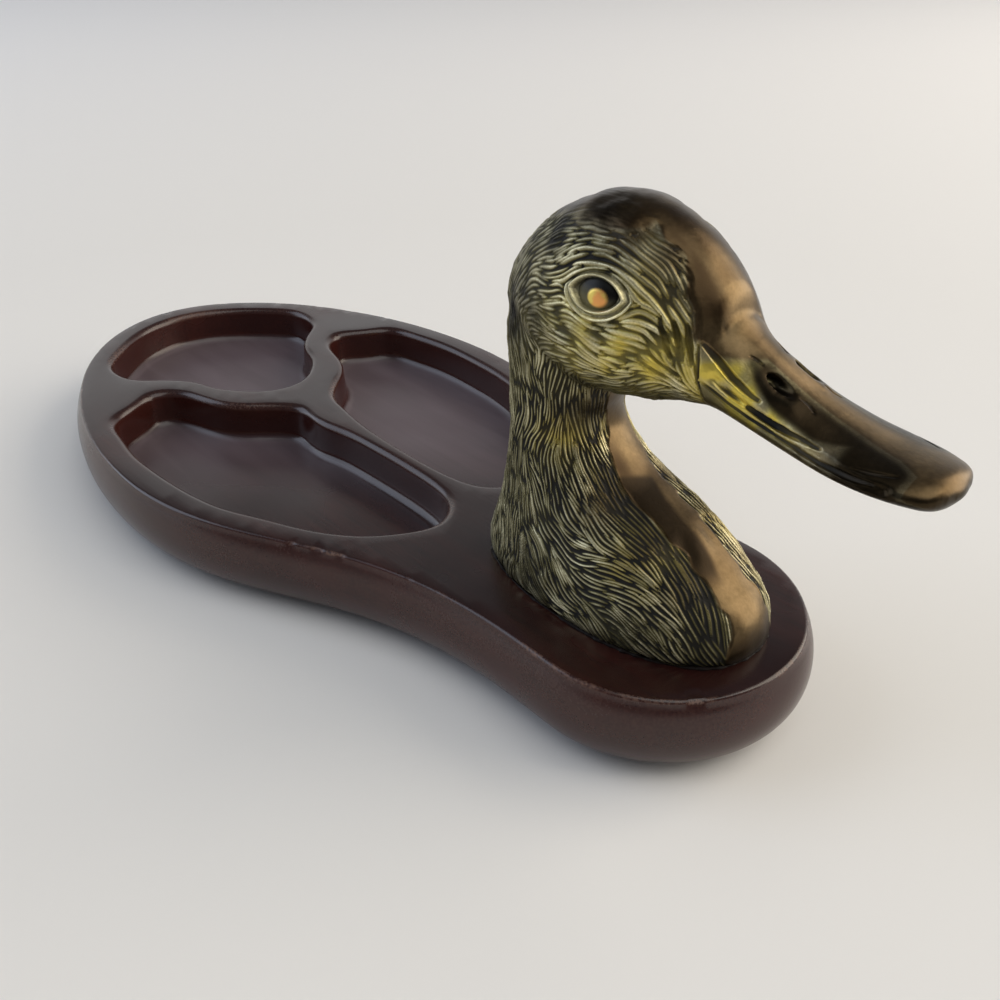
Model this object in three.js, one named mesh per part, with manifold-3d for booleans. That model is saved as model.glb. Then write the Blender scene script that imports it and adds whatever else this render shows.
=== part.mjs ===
// Duck head valet tray: a stained hardwood tray, pear shaped in plan, with three carved pockets,
// and a hollow cast brass duck head held on its narrow end by two screws from below.
// Millimetres. +Z is up, +X points where the bill points, and the origin is on the underside
// of the felt, in the middle of the tray's length.
import * as THREE from 'three';
import { mergeVertices } from 'three/addons/utils/BufferGeometryUtils.js';
import Module from 'manifold-3d';

const wasm = await Module();
wasm.setup();

// Tray outline at the top edge. Distances "from the head end" run back from the lobe's tip.
const TRAY_LENGTH = 280;
const TRAY_WIDTH = 135;
const TRAY_THICKNESS = 22;
const LOBE_RADIUS = 35;
const WAIST_FROM_HEAD_END = 50;
const WIDEST_FROM_HEAD_END = 170;
const WAIST_EASE = 60;
const SHOULDER_EASE = 50;
const BOWL_SIDE_EASE = 56;
const BOWL_END_EASE = 36;

// Tray edge, from the crisp top arris over the swelling side to the flat underside.
const EDGE_ROUND = 1.2;
const EDGE_SWELL = 4.8;
const EDGE_SWELL_DEPTH = 9;
const UNDER_SWELL = 2.6;
const UNDER_INSET = 10;

// Pockets and the webs between them.
const POCKET_DEPTH = 12;
const RIM_WIDTH = 7.8;
const LIP_ROUND = 1.4;
const WALL_DRAFT = 1.2;
const FLOOR_COVE = 3.5;
const WEB_WIDTH = 5.6;
const WEB_SHIFT = -1.8;

// Edges of the pockets. The first number is a share of the tray's length from the bowl end. The second
// is an inset in rim widths, or a share of the half width there, or a share from web to rim.
const SIDE_POCKET_RIM = [
  [0.6536, 1.51], [0.6143, 1], [0.5571, 1], [0.4929, 1], [0.3571, 1], [0.3, 1], [0.25, 1.06], [0.225, 1.9],
];
const SIDE_POCKET_HUB = [
  [0.2232, 0.6], [0.2429, 0.47], [0.2714, 0.408], [0.3, 0.36],
  [0.325, 0.279], [0.3446, 0.179], [0.3714, 0.089],
];
const SIDE_POCKET_WEB = [[0.4107, 0.04], [0.4643, 0], [0.6071, 0]];
const SIDE_POCKET_NOSE = [[0.6429, 0.09], [0.6643, 0.41]];
const END_POCKET_RIM = [[0.0143, 1], [0.05, 1], [0.1, 1]];
const END_POCKET_HUB = [
  [0.1536, 0.728], [0.1768, 0.643], [0.2036, 0.473], [0.2286, 0.364],
  [0.2607, 0.302], [0.2875, 0.217], [0.3089, 0.114],
];
const END_POCKET_TIP = 0.3161;

// Felt and fasteners.
const FELT_THICKNESS = 1.2;
const FELT_INSET = 12;
const SCREW_RADIUS = 2;
const SCREW_ENGAGEMENT = 9;
const SCREW_HEAD_RADIUS = 3.8;
const SCREW_HEAD_HEIGHT = 2.6;
const SCREW_POINT = 0.8;
const SLOT_WIDTH = 1;
const SLOT_DEPTH = 1.2;
const WASHER_RADIUS = 5;
const WASHER_THICKNESS = 1;
const COUNTERBORE_RADIUS = 6;
const COUNTERBORE_DEPTH = 10;
const SCREW_CLEARANCE = 0.3;
const CUT_SPARE = 1;

// Brass casting. Its sections are measured from the lobe's centre and from the tray's top,
// and are given as shares of the crown's height.
const CROWN_HEIGHT = 91.6;
const CAST_WALL = 3;
const BOSS_RADIUS = 5;
const BOSS_HEIGHT = 24;
const BORE_SPARE = 2;
const REAR_BOSS_FROM_BACK = 9.5;
const FRONT_BOSS_FROM_FRONT = 17;

// Level sections of the breast and neck: height, back, widest place, front, half width.
const NECK_SECTIONS = [
  { z: 0, back: -0.5295, widest: -0.1092, front: 0.2948, half: 0.2358 },
  { z: 0.0328, back: -0.5393, widest: -0.1092, front: 0.298, half: 0.2402 },
  { z: 0.1092, back: -0.5197, widest: -0.131, front: 0.2664, half: 0.2249 },
  { z: 0.2183, back: -0.4956, widest: -0.1856, front: 0.1245, half: 0.1943 },
  { z: 0.3057, back: -0.4782, widest: -0.262, front: -0.0983, half: 0.1703 },
  { z: 0.4148, back: -0.4694, widest: -0.3275, front: -0.2009, half: 0.1528 },
  { z: 0.524, back: -0.4716, widest: -0.3275, front: -0.1856, half: 0.1528 },
  { z: 0.6332, back: -0.4803, widest: -0.3166, front: -0.1528, half: 0.1594 },
  { z: 0.7205, back: -0.4738, widest: -0.3057, front: -0.131, half: 0.1528 },
];
const NECK_SQUARENESS = 2.25;

// Upright sections of the head and bill: place along X, crown, widest height, underside, half width.
const HEAD_SECTIONS = [
  { x: -0.4891, top: 0.7205, widest: 0.7205, under: 0.7205, half: 0 },
  { x: -0.476, top: 0.7882, widest: 0.7205, under: 0.6496, half: 0.0655 },
  { x: -0.4367, top: 0.8515, widest: 0.726, under: 0.5895, half: 0.1146 },
  { x: -0.3493, top: 0.9323, widest: 0.7314, under: 0.5459, half: 0.1616 },
  { x: -0.2293, top: 0.9902, widest: 0.7314, under: 0.5328, half: 0.1889 },
  { x: -0.1201, top: 1, widest: 0.726, under: 0.548, half: 0.1921 },
  { x: -0.0109, top: 0.9662, widest: 0.7205, under: 0.5721, half: 0.1747 },
  { x: 0.0655, top: 0.9192, widest: 0.7096, under: 0.5961, half: 0.1463 },
  { x: 0.1146, top: 0.8668, widest: 0.6965, under: 0.6048, half: 0.1245 },
  { x: 0.1507, top: 0.8079, widest: 0.6812, under: 0.6048, half: 0.1092 },
  { x: 0.202, top: 0.7664, widest: 0.6583, under: 0.5993, half: 0.1015 },
  { x: 0.3166, top: 0.7096, widest: 0.6332, under: 0.5808, half: 0.1037 },
  { x: 0.4258, top: 0.6725, widest: 0.6179, under: 0.5721, half: 0.1157 },
  { x: 0.5131, top: 0.655, widest: 0.6135, under: 0.5742, half: 0.1212 },
  { x: 0.5895, top: 0.6474, widest: 0.6124, under: 0.5764, half: 0.1081 },
  { x: 0.6386, top: 0.6397, widest: 0.6114, under: 0.5808, half: 0.0764 },
  { x: 0.6605, top: 0.6114, widest: 0.6114, under: 0.6114, half: 0 },
];
const HEAD_CAVITY = { back: -40, front: 9 };

// Cast features on the head.
const EYE_X = -9.9;
const EYE_Z = 76;
const EYE_RADIUS = 2.5;
const EYE_SUNK = 0.45;
const LID_LENGTH = 11;
const LID_HEIGHT = 7.6;
const LID_THICKNESS = 1.8;
const LID_TILT_DEGREES = -7;
const NOSTRIL_X = 26;
const NOSTRIL_LENGTH = 9;
const NOSTRIL_WIDTH = 2.4;
const NOSTRIL_DEPTH = 1.6;
const NOSTRIL_RISE = 0.88;
const NOSTRIL_TILT_DEGREES = -24;
const LIP_START_X = 14;
const LIP_END_X = 52;
const LIP_RISE = 0.22;
const LIP_GROOVE_RADIUS = 0.8;

// Smoothness of the facets.
const OUTLINE_POINTS = 104;
const POCKET_POINTS = 64;
const HEAD_RINGS = 38;
const NECK_RINGS = 18;
const SECTION_POINTS = 32;
const CAVITY_RINGS = 9;

// Places that follow from the sizes above.
const HEAD_END = TRAY_LENGTH / 2;
const BOWL_END = -TRAY_LENGTH / 2;
const LOBE_CENTRE = HEAD_END - LOBE_RADIUS;
const TRAY_BOTTOM = FELT_THICKNESS;
const TRAY_TOP = TRAY_BOTTOM + TRAY_THICKNESS;
const FLOOR_Z = TRAY_TOP - POCKET_DEPTH;
const COUNTERBORE_CEILING = TRAY_BOTTOM + COUNTERBORE_DEPTH;
const FOOT = NECK_SECTIONS[0];
const REAR_SCREW_X = LOBE_CENTRE + FOOT.back * CROWN_HEIGHT + REAR_BOSS_FROM_BACK;
const FRONT_SCREW_X = LOBE_CENTRE + FOOT.front * CROWN_HEIGHT - FRONT_BOSS_FROM_FRONT;
const HOLE_RADIUS = SCREW_RADIUS + SCREW_CLEARANCE;
const SCREW_TIP = TRAY_TOP + SCREW_ENGAGEMENT;

// Solid helpers

function toManifold(geometry) {
  const bare = geometry.clone();
  bare.deleteAttribute('normal');
  bare.deleteAttribute('uv');
  const merged = mergeVertices(bare, 1e-4);
  const index = merged.index.array;
  const triangles = [];
  for (let i = 0; i < index.length; i += 3) {
    const [a, b, c] = [index[i], index[i + 1], index[i + 2]];
    if (a !== b && b !== c && c !== a) triangles.push(a, b, c);
  }
  const vertProperties = new Float32Array(merged.attributes.position.array);
  const triVerts = new Uint32Array(triangles);
  return new wasm.Manifold(new wasm.Mesh({ numProp: 3, vertProperties, triVerts }));
}

function toGeometry(manifold) {
  const mesh = manifold.getMesh();
  const geometry = new THREE.BufferGeometry();
  geometry.setAttribute('position', new THREE.BufferAttribute(new Float32Array(mesh.vertProperties), 3));
  geometry.setIndex(new THREE.BufferAttribute(new Uint32Array(mesh.triVerts), 1));
  geometry.computeVertexNormals();
  return geometry;
}

// Closed skin over a stack of rings that all have the same number of points. Rings run anticlockwise
// seen from the last ring, and flatten() maps a ring's points to the plane its end cap lies in.
function skin(rings, flatten) {
  const count = rings[0].length;
  const positions = rings.flat().flatMap((point) => [point.x, point.y, point.z]);
  const index = [];
  for (let r = 0; r + 1 < rings.length; r += 1) {
    for (let i = 0; i < count; i += 1) {
      const a = r * count + i;
      const b = r * count + ((i + 1) % count);
      index.push(a, b, b + count, a, b + count, a + count);
    }
  }
  const last = (rings.length - 1) * count;
  for (const [a, b, c] of THREE.ShapeUtils.triangulateShape(rings[0].map(flatten), [])) index.push(c, b, a);
  for (const [a, b, c] of THREE.ShapeUtils.triangulateShape(rings.at(-1).map(flatten), [])) {
    index.push(last + a, last + b, last + c);
  }
  const geometry = new THREE.BufferGeometry();
  geometry.setAttribute('position', new THREE.BufferAttribute(new Float32Array(positions), 3));
  geometry.setIndex(index);
  return geometry;
}

const fromAbove = (point) => new THREE.Vector2(point.x, point.y);

function uprightCylinder(x, radius, bottom, top, sides = 20) {
  const geometry = new THREE.CylinderGeometry(radius, radius, top - bottom, sides);
  geometry.rotateX(Math.PI / 2);
  geometry.translate(x, 0, (bottom + top) / 2);
  return toManifold(geometry);
}

// Plan curves

// Half of the top edge, on the +Y side, from the head end to the bowl end.
function halfOutline() {
  const halfWidth = TRAY_WIDTH / 2;
  const waistX = HEAD_END - WAIST_FROM_HEAD_END;
  const widestX = HEAD_END - WIDEST_FROM_HEAD_END;
  const path = new THREE.Path();
  path.moveTo(HEAD_END, 0);
  path.absarc(LOBE_CENTRE, 0, LOBE_RADIUS, 0, Math.PI / 2, false);
  path.lineTo(waistX, LOBE_RADIUS);
  const shoulderX = widestX + SHOULDER_EASE;
  path.bezierCurveTo(waistX - WAIST_EASE, LOBE_RADIUS, shoulderX, halfWidth, widestX, halfWidth);
  path.bezierCurveTo(widestX - BOWL_SIDE_EASE, halfWidth, BOWL_END, BOWL_END_EASE, BOWL_END, 0);
  return path;
}

function outlineRing() {
  const half = halfOutline().getSpacedPoints(OUTLINE_POINTS / 2);
  const mirrored = half.slice(1, -1).reverse().map((point) => new THREE.Vector2(point.x, -point.y));
  return [...half, ...mirrored];
}

// Moves every point of a closed anticlockwise ring outwards by a distance.
function offsetRing(ring, distance) {
  return ring.map((point, i) => {
    const before = ring[(i + ring.length - 1) % ring.length];
    const after = ring[(i + 1) % ring.length];
    const along = after.clone().sub(before).normalize();
    return new THREE.Vector2(point.x + along.y * distance, point.y - along.x * distance);
  });
}

const atHeight = (ring, z) => ring.map((point) => new THREE.Vector3(point.x, point.y, z));

const FINE_HALF = halfOutline().getSpacedPoints(600);

// The outline's two neighbouring points around a place along X, and the share of the way between them.
function outlineAt(x) {
  const next = FINE_HALF.findIndex((point, i) => i > 0 && point.x <= x);
  const from = FINE_HALF[next - 1];
  const to = FINE_HALF[next];
  return { from, to, share: (from.x - x) / (from.x - to.x) };
}

function halfWidthAt(x) {
  const { from, to, share } = outlineAt(x);
  return from.y + (to.y - from.y) * share;
}

// Point inside the top edge by an inset, at a place along X. side is 1 for +Y and -1 for -Y.
function insideRim(x, inset, side) {
  const { from, to } = outlineAt(x);
  const along = to.clone().sub(from).normalize();
  return new THREE.Vector3(x - along.y * inset, side * (halfWidthAt(x) + along.x * inset), 0);
}

// Tray

const alongTray = (share) => BOWL_END + share * TRAY_LENGTH;

const rimPoint = (side) => ([along, insets]) => insideRim(alongTray(along), insets * RIM_WIDTH, side);

function hubPoint(side) {
  return ([along, across]) => {
    const x = alongTray(along);
    return new THREE.Vector3(x, side * across * halfWidthAt(x), 0);
  };
}

// Long pocket on one side of the middle web, around the hub where the webs meet.
function sidePocketCurve(side) {
  const webEdge = WEB_WIDTH / 2 + side * WEB_SHIFT;
  const webPoint = ([along, across]) => {
    const x = alongTray(along);
    const y = webEdge + across * (halfWidthAt(x) - RIM_WIDTH - webEdge);
    return new THREE.Vector3(x, side * y, 0);
  };
  const points = [
    ...SIDE_POCKET_RIM.map(rimPoint(side)),
    ...SIDE_POCKET_HUB.map(hubPoint(side)),
    ...SIDE_POCKET_WEB.map(webPoint),
    ...SIDE_POCKET_NOSE.map(webPoint),
  ];
  return new THREE.CatmullRomCurve3(points, true, 'centripetal');
}

// Round pocket at the bowl end, with a lobe that points at the hub.
function endPocketCurve() {
  const half = (side) => [...END_POCKET_RIM.map(rimPoint(side)), ...END_POCKET_HUB.map(hubPoint(side))];
  const points = [
    new THREE.Vector3(BOWL_END + RIM_WIDTH, 0, 0),
    ...half(-1),
    new THREE.Vector3(alongTray(END_POCKET_TIP), 0, 0),
    ...half(1).reverse(),
  ];
  return new THREE.CatmullRomCurve3(points, true, 'centripetal');
}

// The cutter for a pocket: coved floor, slightly leaning wall, rounded lip.
function pocketCutter(curve) {
  const edge = curve.getSpacedPoints(POCKET_POINTS).slice(0, -1).map(fromAbove);
  const ring = THREE.ShapeUtils.area(edge) > 0 ? edge : edge.reverse();
  const cove = [0, 30, 60, 90].map((degrees) => {
    const turn = THREE.MathUtils.degToRad(degrees);
    const inset = WALL_DRAFT + FLOOR_COVE * (1 - Math.sin(turn));
    return atHeight(offsetRing(ring, -inset), FLOOR_Z + FLOOR_COVE * (1 - Math.cos(turn)));
  });
  const lip = [0, 45, 90].map((degrees) => {
    const turn = THREE.MathUtils.degToRad(degrees);
    const outset = LIP_ROUND * (1 - Math.cos(turn));
    return atHeight(offsetRing(ring, outset), TRAY_TOP - LIP_ROUND * (1 - Math.sin(turn)));
  });
  const above = atHeight(offsetRing(ring, LIP_ROUND), TRAY_TOP + CUT_SPARE);
  return toManifold(skin([...cove, ...lip, above], fromAbove));
}

function trayBody() {
  const outline = outlineRing();
  const side = new THREE.CubicBezierCurve(
    new THREE.Vector2(-UNDER_INSET, TRAY_BOTTOM),
    new THREE.Vector2(UNDER_SWELL, TRAY_BOTTOM),
    new THREE.Vector2(EDGE_SWELL, TRAY_TOP - EDGE_SWELL_DEPTH),
    new THREE.Vector2(0, TRAY_TOP - EDGE_ROUND),
  );
  const arris = [30, 60, 90].map((degrees) => {
    const turn = THREE.MathUtils.degToRad(degrees);
    const drop = EDGE_ROUND * (1 - Math.sin(turn));
    return new THREE.Vector2(-EDGE_ROUND * (1 - Math.cos(turn)), TRAY_TOP - drop);
  });
  const profile = [...side.getPoints(8), ...arris];
  const rings = profile.map((point) => atHeight(offsetRing(outline, point.x), point.y));
  let body = toManifold(skin(rings, fromAbove));
  for (const curve of [sidePocketCurve(-1), sidePocketCurve(1), endPocketCurve()]) {
    body = body.subtract(pocketCutter(curve));
  }
  for (const x of [FRONT_SCREW_X, REAR_SCREW_X]) {
    const below = TRAY_BOTTOM - CUT_SPARE;
    body = body.subtract(uprightCylinder(x, HOLE_RADIUS, below, TRAY_TOP + CUT_SPARE));
    body = body.subtract(uprightCylinder(x, COUNTERBORE_RADIUS, below, COUNTERBORE_CEILING));
  }
  return toGeometry(body);
}

// Felt: a flat sheet inside the tray's flat underside.
function baseFelt() {
  const ring = offsetRing(outlineRing(), -FELT_INSET);
  return skin([atHeight(ring, 0), atHeight(ring, FELT_THICKNESS)], fromAbove);
}

// Fasteners

function screw(x) {
  const seat = COUNTERBORE_CEILING - WASHER_THICKNESS;
  const bottom = seat - SCREW_HEAD_HEIGHT;
  const profile = [
    [0, bottom],
    [SCREW_HEAD_RADIUS * 0.6, bottom],
    [SCREW_HEAD_RADIUS * 0.9, bottom + SCREW_HEAD_HEIGHT * 0.3],
    [SCREW_HEAD_RADIUS, bottom + SCREW_HEAD_HEIGHT * 0.7],
    [SCREW_HEAD_RADIUS, seat],
    [SCREW_RADIUS, seat],
    [SCREW_RADIUS, SCREW_TIP - SCREW_POINT],
    [SCREW_RADIUS - SCREW_POINT, SCREW_TIP],
    [0, SCREW_TIP],
  ];
  const blank = new THREE.LatheGeometry(profile.map(([r, z]) => new THREE.Vector2(r, z)), 20);
  blank.rotateX(Math.PI / 2);
  const slot = new THREE.BoxGeometry(3 * SCREW_HEAD_RADIUS, SLOT_WIDTH, 2 * SLOT_DEPTH);
  slot.translate(0, 0, bottom);
  const solid = toManifold(blank).subtract(toManifold(slot));
  return toGeometry(solid.translate([x, 0, 0]));
}

function washer(x) {
  const bottom = COUNTERBORE_CEILING - WASHER_THICKNESS;
  const disc = uprightCylinder(x, WASHER_RADIUS, bottom, COUNTERBORE_CEILING);
  const hole = uprightCylinder(x, HOLE_RADIUS, bottom - CUT_SPARE, COUNTERBORE_CEILING + CUT_SPARE);
  return toGeometry(disc.subtract(hole));
}

// Duck head

// One smooth curve for each measure of a list of sections, read at a share t of the way along it.
function sectionReader(sections, place) {
  const measures = Object.keys(sections[0]).filter((key) => key !== place);
  const curves = measures.map((key) => {
    const points = sections.map((section) => new THREE.Vector2(section[place], section[key]));
    return new THREE.SplineCurve(points.map((point) => point.multiplyScalar(CROWN_HEIGHT)));
  });
  return (t) => {
    const section = { [place]: curves[0].getPoint(t).x };
    measures.forEach((key, i) => { section[key] = curves[i].getPoint(t).y; });
    return section;
  };
}

const neckAt = sectionReader(NECK_SECTIONS, 'z');
const headAt = sectionReader(HEAD_SECTIONS, 'x');

// Share t at which a reader reaches a place.
function shareAt(reader, place, value) {
  let [low, high] = [0, 1];
  for (let i = 0; i < 40; i += 1) {
    const middle = (low + high) / 2;
    if (reader(middle)[place] < value) low = middle;
    else high = middle;
  }
  return low;
}

const headSection = (x) => headAt(shareAt(headAt, 'x', x - LOBE_CENTRE));

function turns() {
  return Array.from({ length: SECTION_POINTS }, (_, i) => (2 * Math.PI * i) / SECTION_POINTS);
}

const squared = (part) => Math.sign(part) * Math.abs(part) ** (2 / NECK_SQUARENESS);

// Egg-shaped level ring: the front and back halves meet at the widest place.
function neckRing(section, z, inset) {
  return turns().map((turn) => {
    const reach = Math.cos(turn) > 0 ? section.front - section.widest : section.widest - section.back;
    const x = LOBE_CENTRE + section.widest + (reach - inset) * squared(Math.cos(turn));
    return new THREE.Vector3(x, (section.half - inset) * squared(Math.sin(turn)), z);
  });
}

// Upright ring: the crown and the underside meet at the widest height.
function headRing(section, inset) {
  const half = Math.max(section.half - inset, 0);
  return turns().map((turn) => {
    const reach = Math.sin(turn) > 0 ? section.top - section.widest : section.widest - section.under;
    const z = TRAY_TOP + section.widest + Math.max(reach - inset, 0) * Math.sin(turn);
    return new THREE.Vector3(LOBE_CENTRE + section.x, half * Math.cos(turn), z);
  });
}

// Evenly spread numbers, both ends included.
function spread(count, from = 0, to = 1) {
  return Array.from({ length: count }, (_, i) => from + ((to - from) * i) / (count - 1));
}

const fromFront = (point) => new THREE.Vector2(point.y, point.z);

function headOutside() {
  const neck = spread(NECK_RINGS).map((t) => neckRing(neckAt(t), TRAY_TOP + neckAt(t).z, 0));
  const head = spread(HEAD_RINGS).map((t) => headRing(headAt(t), 0));
  return toManifold(skin(neck, fromAbove)).add(toManifold(skin(head, fromFront)));
}

// Room inside the casting, open at the foot. Each level ring follows the outside one wall higher up,
// so the sloping breast keeps its thickness too.
function headInside() {
  const top = NECK_SECTIONS.at(-1).z * CROWN_HEIGHT;
  const levels = spread(CAVITY_RINGS, 0, top - CAST_WALL);
  const neck = levels.map((z) => {
    const section = neckAt(shareAt(neckAt, 'z', z + CAST_WALL));
    return neckRing(section, TRAY_TOP + z, CAST_WALL);
  });
  const foot = neck[0].map((point) => point.clone().setZ(TRAY_TOP - CUT_SPARE));
  const back = shareAt(headAt, 'x', HEAD_CAVITY.back);
  const front = shareAt(headAt, 'x', HEAD_CAVITY.front);
  const head = spread(CAVITY_RINGS, back, front).map((t) => headRing(headAt(t), CAST_WALL));
  return toManifold(skin([foot, ...neck], fromAbove)).add(toManifold(skin(head, fromFront)));
}

// Point and outward direction on one side of the head, at a place along X and a height above the
// widest line there.
function onHead(x, rise, side) {
  const section = headSection(x);
  const reach = section.top - section.widest;
  const lean = Math.asin(THREE.MathUtils.clamp(rise / reach, -1, 1));
  const [across, up] = [side * Math.cos(lean), Math.sin(lean)];
  const point = new THREE.Vector3(x, section.half * across, TRAY_TOP + section.widest + rise);
  const outward = new THREE.Vector3(0, across / section.half, up / reach).normalize();
  return { point, outward };
}

// Places a piece made in the XY plane flat on the head's side, its X axis along the head.
function seat(geometry, { point, outward }, tiltDegrees) {
  const pitch = THREE.MathUtils.degToRad(tiltDegrees);
  const along = new THREE.Vector3(Math.cos(pitch), 0, Math.sin(pitch));
  const across = outward.clone().cross(along).normalize();
  along.copy(across).cross(outward);
  geometry.applyMatrix4(new THREE.Matrix4().makeBasis(along, across, outward).setPosition(point));
  return toManifold(geometry);
}

function eye(side) {
  const x = LOBE_CENTRE + EYE_X;
  const place = onHead(x, EYE_Z - headSection(x).widest, side);
  const tube = LID_THICKNESS / 2;
  const lid = new THREE.TorusGeometry(LID_LENGTH / 2 - tube, tube, 6, 24);
  lid.scale(1, LID_HEIGHT / LID_LENGTH, 1);
  const bead = new THREE.SphereGeometry(EYE_RADIUS, 16, 10);
  bead.translate(0, 0, -EYE_RADIUS * EYE_SUNK);
  return seat(lid, place, LID_TILT_DEGREES).add(seat(bead, place, 0));
}

function nostril(side) {
  const x = LOBE_CENTRE + NOSTRIL_X;
  const section = headSection(x);
  const place = onHead(x, NOSTRIL_RISE * (section.top - section.widest), side);
  const hollow = new THREE.SphereGeometry(1, 14, 8);
  hollow.scale(NOSTRIL_LENGTH / 2, NOSTRIL_WIDTH / 2, NOSTRIL_DEPTH);
  return seat(hollow, place, NOSTRIL_TILT_DEGREES);
}

// The line between the halves of the bill, as a round-bottomed groove.
function lipGroove(side) {
  const places = spread(9, LOBE_CENTRE + LIP_START_X, LOBE_CENTRE + LIP_END_X);
  const points = places.map((x) => {
    const section = headSection(x);
    return onHead(x, LIP_RISE * (section.top - section.widest), side).point;
  });
  const round = new THREE.Shape().absarc(0, 0, LIP_GROOVE_RADIUS, 0, 2 * Math.PI, false);
  const extrudePath = new THREE.CatmullRomCurve3(points);
  const sweep = { steps: 18, curveSegments: 6, bevelEnabled: false, extrudePath };
  return toManifold(new THREE.ExtrudeGeometry(round, sweep));
}

function duckHead() {
  const outside = headOutside();
  let casting = outside.subtract(headInside());
  for (const x of [FRONT_SCREW_X, REAR_SCREW_X]) {
    const boss = uprightCylinder(x, BOSS_RADIUS, TRAY_TOP, TRAY_TOP + BOSS_HEIGHT);
    casting = casting.add(boss.intersect(outside));
    const bore = uprightCylinder(x, HOLE_RADIUS, TRAY_TOP - CUT_SPARE, SCREW_TIP + BORE_SPARE);
    casting = casting.subtract(bore);
  }
  for (const side of [-1, 1]) {
    casting = casting.add(eye(side));
    casting = casting.subtract(nostril(side)).subtract(lipGroove(side));
  }
  return toGeometry(casting);
}

// Assembly

const wood = new THREE.MeshStandardMaterial({ color: '#4a2a22', roughness: 0.42, metalness: 0 });
const brass = new THREE.MeshStandardMaterial({ color: '#8f7a45', roughness: 0.38, metalness: 1 });
const steel = new THREE.MeshStandardMaterial({ color: '#b4b3ae', roughness: 0.35, metalness: 1 });
const felt = new THREE.MeshStandardMaterial({ color: '#2f4636', roughness: 0.95, metalness: 0 });

function piece(name, geometry, material) {
  const mesh = new THREE.Mesh(geometry, material);
  mesh.name = name;
  return mesh;
}

const tray = new THREE.Group();
tray.add(
  piece('tray_body', trayBody(), wood),
  piece('duck_head', duckHead(), brass),
  piece('front_screw', screw(FRONT_SCREW_X), steel),
  piece('rear_screw', screw(REAR_SCREW_X), steel),
  piece('front_washer', washer(FRONT_SCREW_X), steel),
  piece('rear_washer', washer(REAR_SCREW_X), steel),
  piece('base_felt', baseFelt(), felt),
);

export default tray;
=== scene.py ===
"""Looks of a duck head valet tray: a carved hardwood tray, a feathered brass casting, felt and fasteners."""

import math

import bmesh
import bpy
import numpy as np
from bpy.props import FloatProperty, FloatVectorProperty, IntProperty, PointerProperty
from mathutils import Matrix, Vector
from mathutils.bvhtree import BVHTree
from mathutils.geometry import delaunay_2d_cdt
from mathutils.kdtree import KDTree


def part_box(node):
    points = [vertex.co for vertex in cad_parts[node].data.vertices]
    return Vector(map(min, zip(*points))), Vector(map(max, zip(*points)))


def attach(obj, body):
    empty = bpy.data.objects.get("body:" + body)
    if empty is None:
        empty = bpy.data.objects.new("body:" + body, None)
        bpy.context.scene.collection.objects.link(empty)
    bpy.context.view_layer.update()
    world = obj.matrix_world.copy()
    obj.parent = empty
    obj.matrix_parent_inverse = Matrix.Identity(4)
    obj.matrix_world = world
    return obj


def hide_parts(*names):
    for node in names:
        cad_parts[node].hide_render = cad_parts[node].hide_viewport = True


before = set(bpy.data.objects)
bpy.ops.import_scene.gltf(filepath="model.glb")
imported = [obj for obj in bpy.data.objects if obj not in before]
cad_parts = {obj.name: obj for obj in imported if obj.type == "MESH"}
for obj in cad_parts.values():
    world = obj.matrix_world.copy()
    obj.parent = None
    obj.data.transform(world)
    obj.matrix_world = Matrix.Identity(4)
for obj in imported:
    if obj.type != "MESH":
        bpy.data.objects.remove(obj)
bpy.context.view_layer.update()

bl_info = {
    "name": "Duck head valet tray",
    "version": (1, 0, 0),
    "blender": (4, 5, 0),
    "location": "View3D > Sidebar > Valet tray",
    "description": "Builds a carved wooden tray with a cast brass duck head",
    "category": "Add Mesh",
}

MM = 0.001

# Places on the head are millimetres from the middle of the tray's round end and from the tray's top.
BILL_REACH = 60.5
HEAD_ORIGIN = Vector((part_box("duck_head")[1].x - BILL_REACH * MM, 0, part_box("duck_head")[0].z))

# Feather lay seen from the side: place forward, place up, angle of the lines in degrees.
FEATHER_LAY = [
    (-32, 80, 57), (-33, 74, 60), (-18, 82, 30), (-13, 84, 3), (-7, 83, -25), (-2, 81, -10),
    (-2, 78, 0), (0, 75, -5), (4, 80, -44), (8, 76, -42), (7, 71, -60), (-23, 73, 17), (-22, 69, 16),
    (-20, 65, 8), (-11, 67, -8), (-2, 70, -4), (-6, 63, -6), (4, 67, -30), (-2, 59, 14), (-34, 61, -84),
    (-28, 48, -86), (-19, 48, -104), (-32, 35, -84), (-24, 39, -75), (-20, 41, -88), (-15, 30, -44),
    (-12, 30, -40), (-21, 29, -62), (-31, 11, -78), (-19, 12, -44), (-4, 23, -16), (3, 20, -15),
    (-1, 13, -12), (-12, 2, -22), (10, 9, -32), (19, 10, -48), (12, 19, -28), (-42, 20, -84),
]

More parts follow.
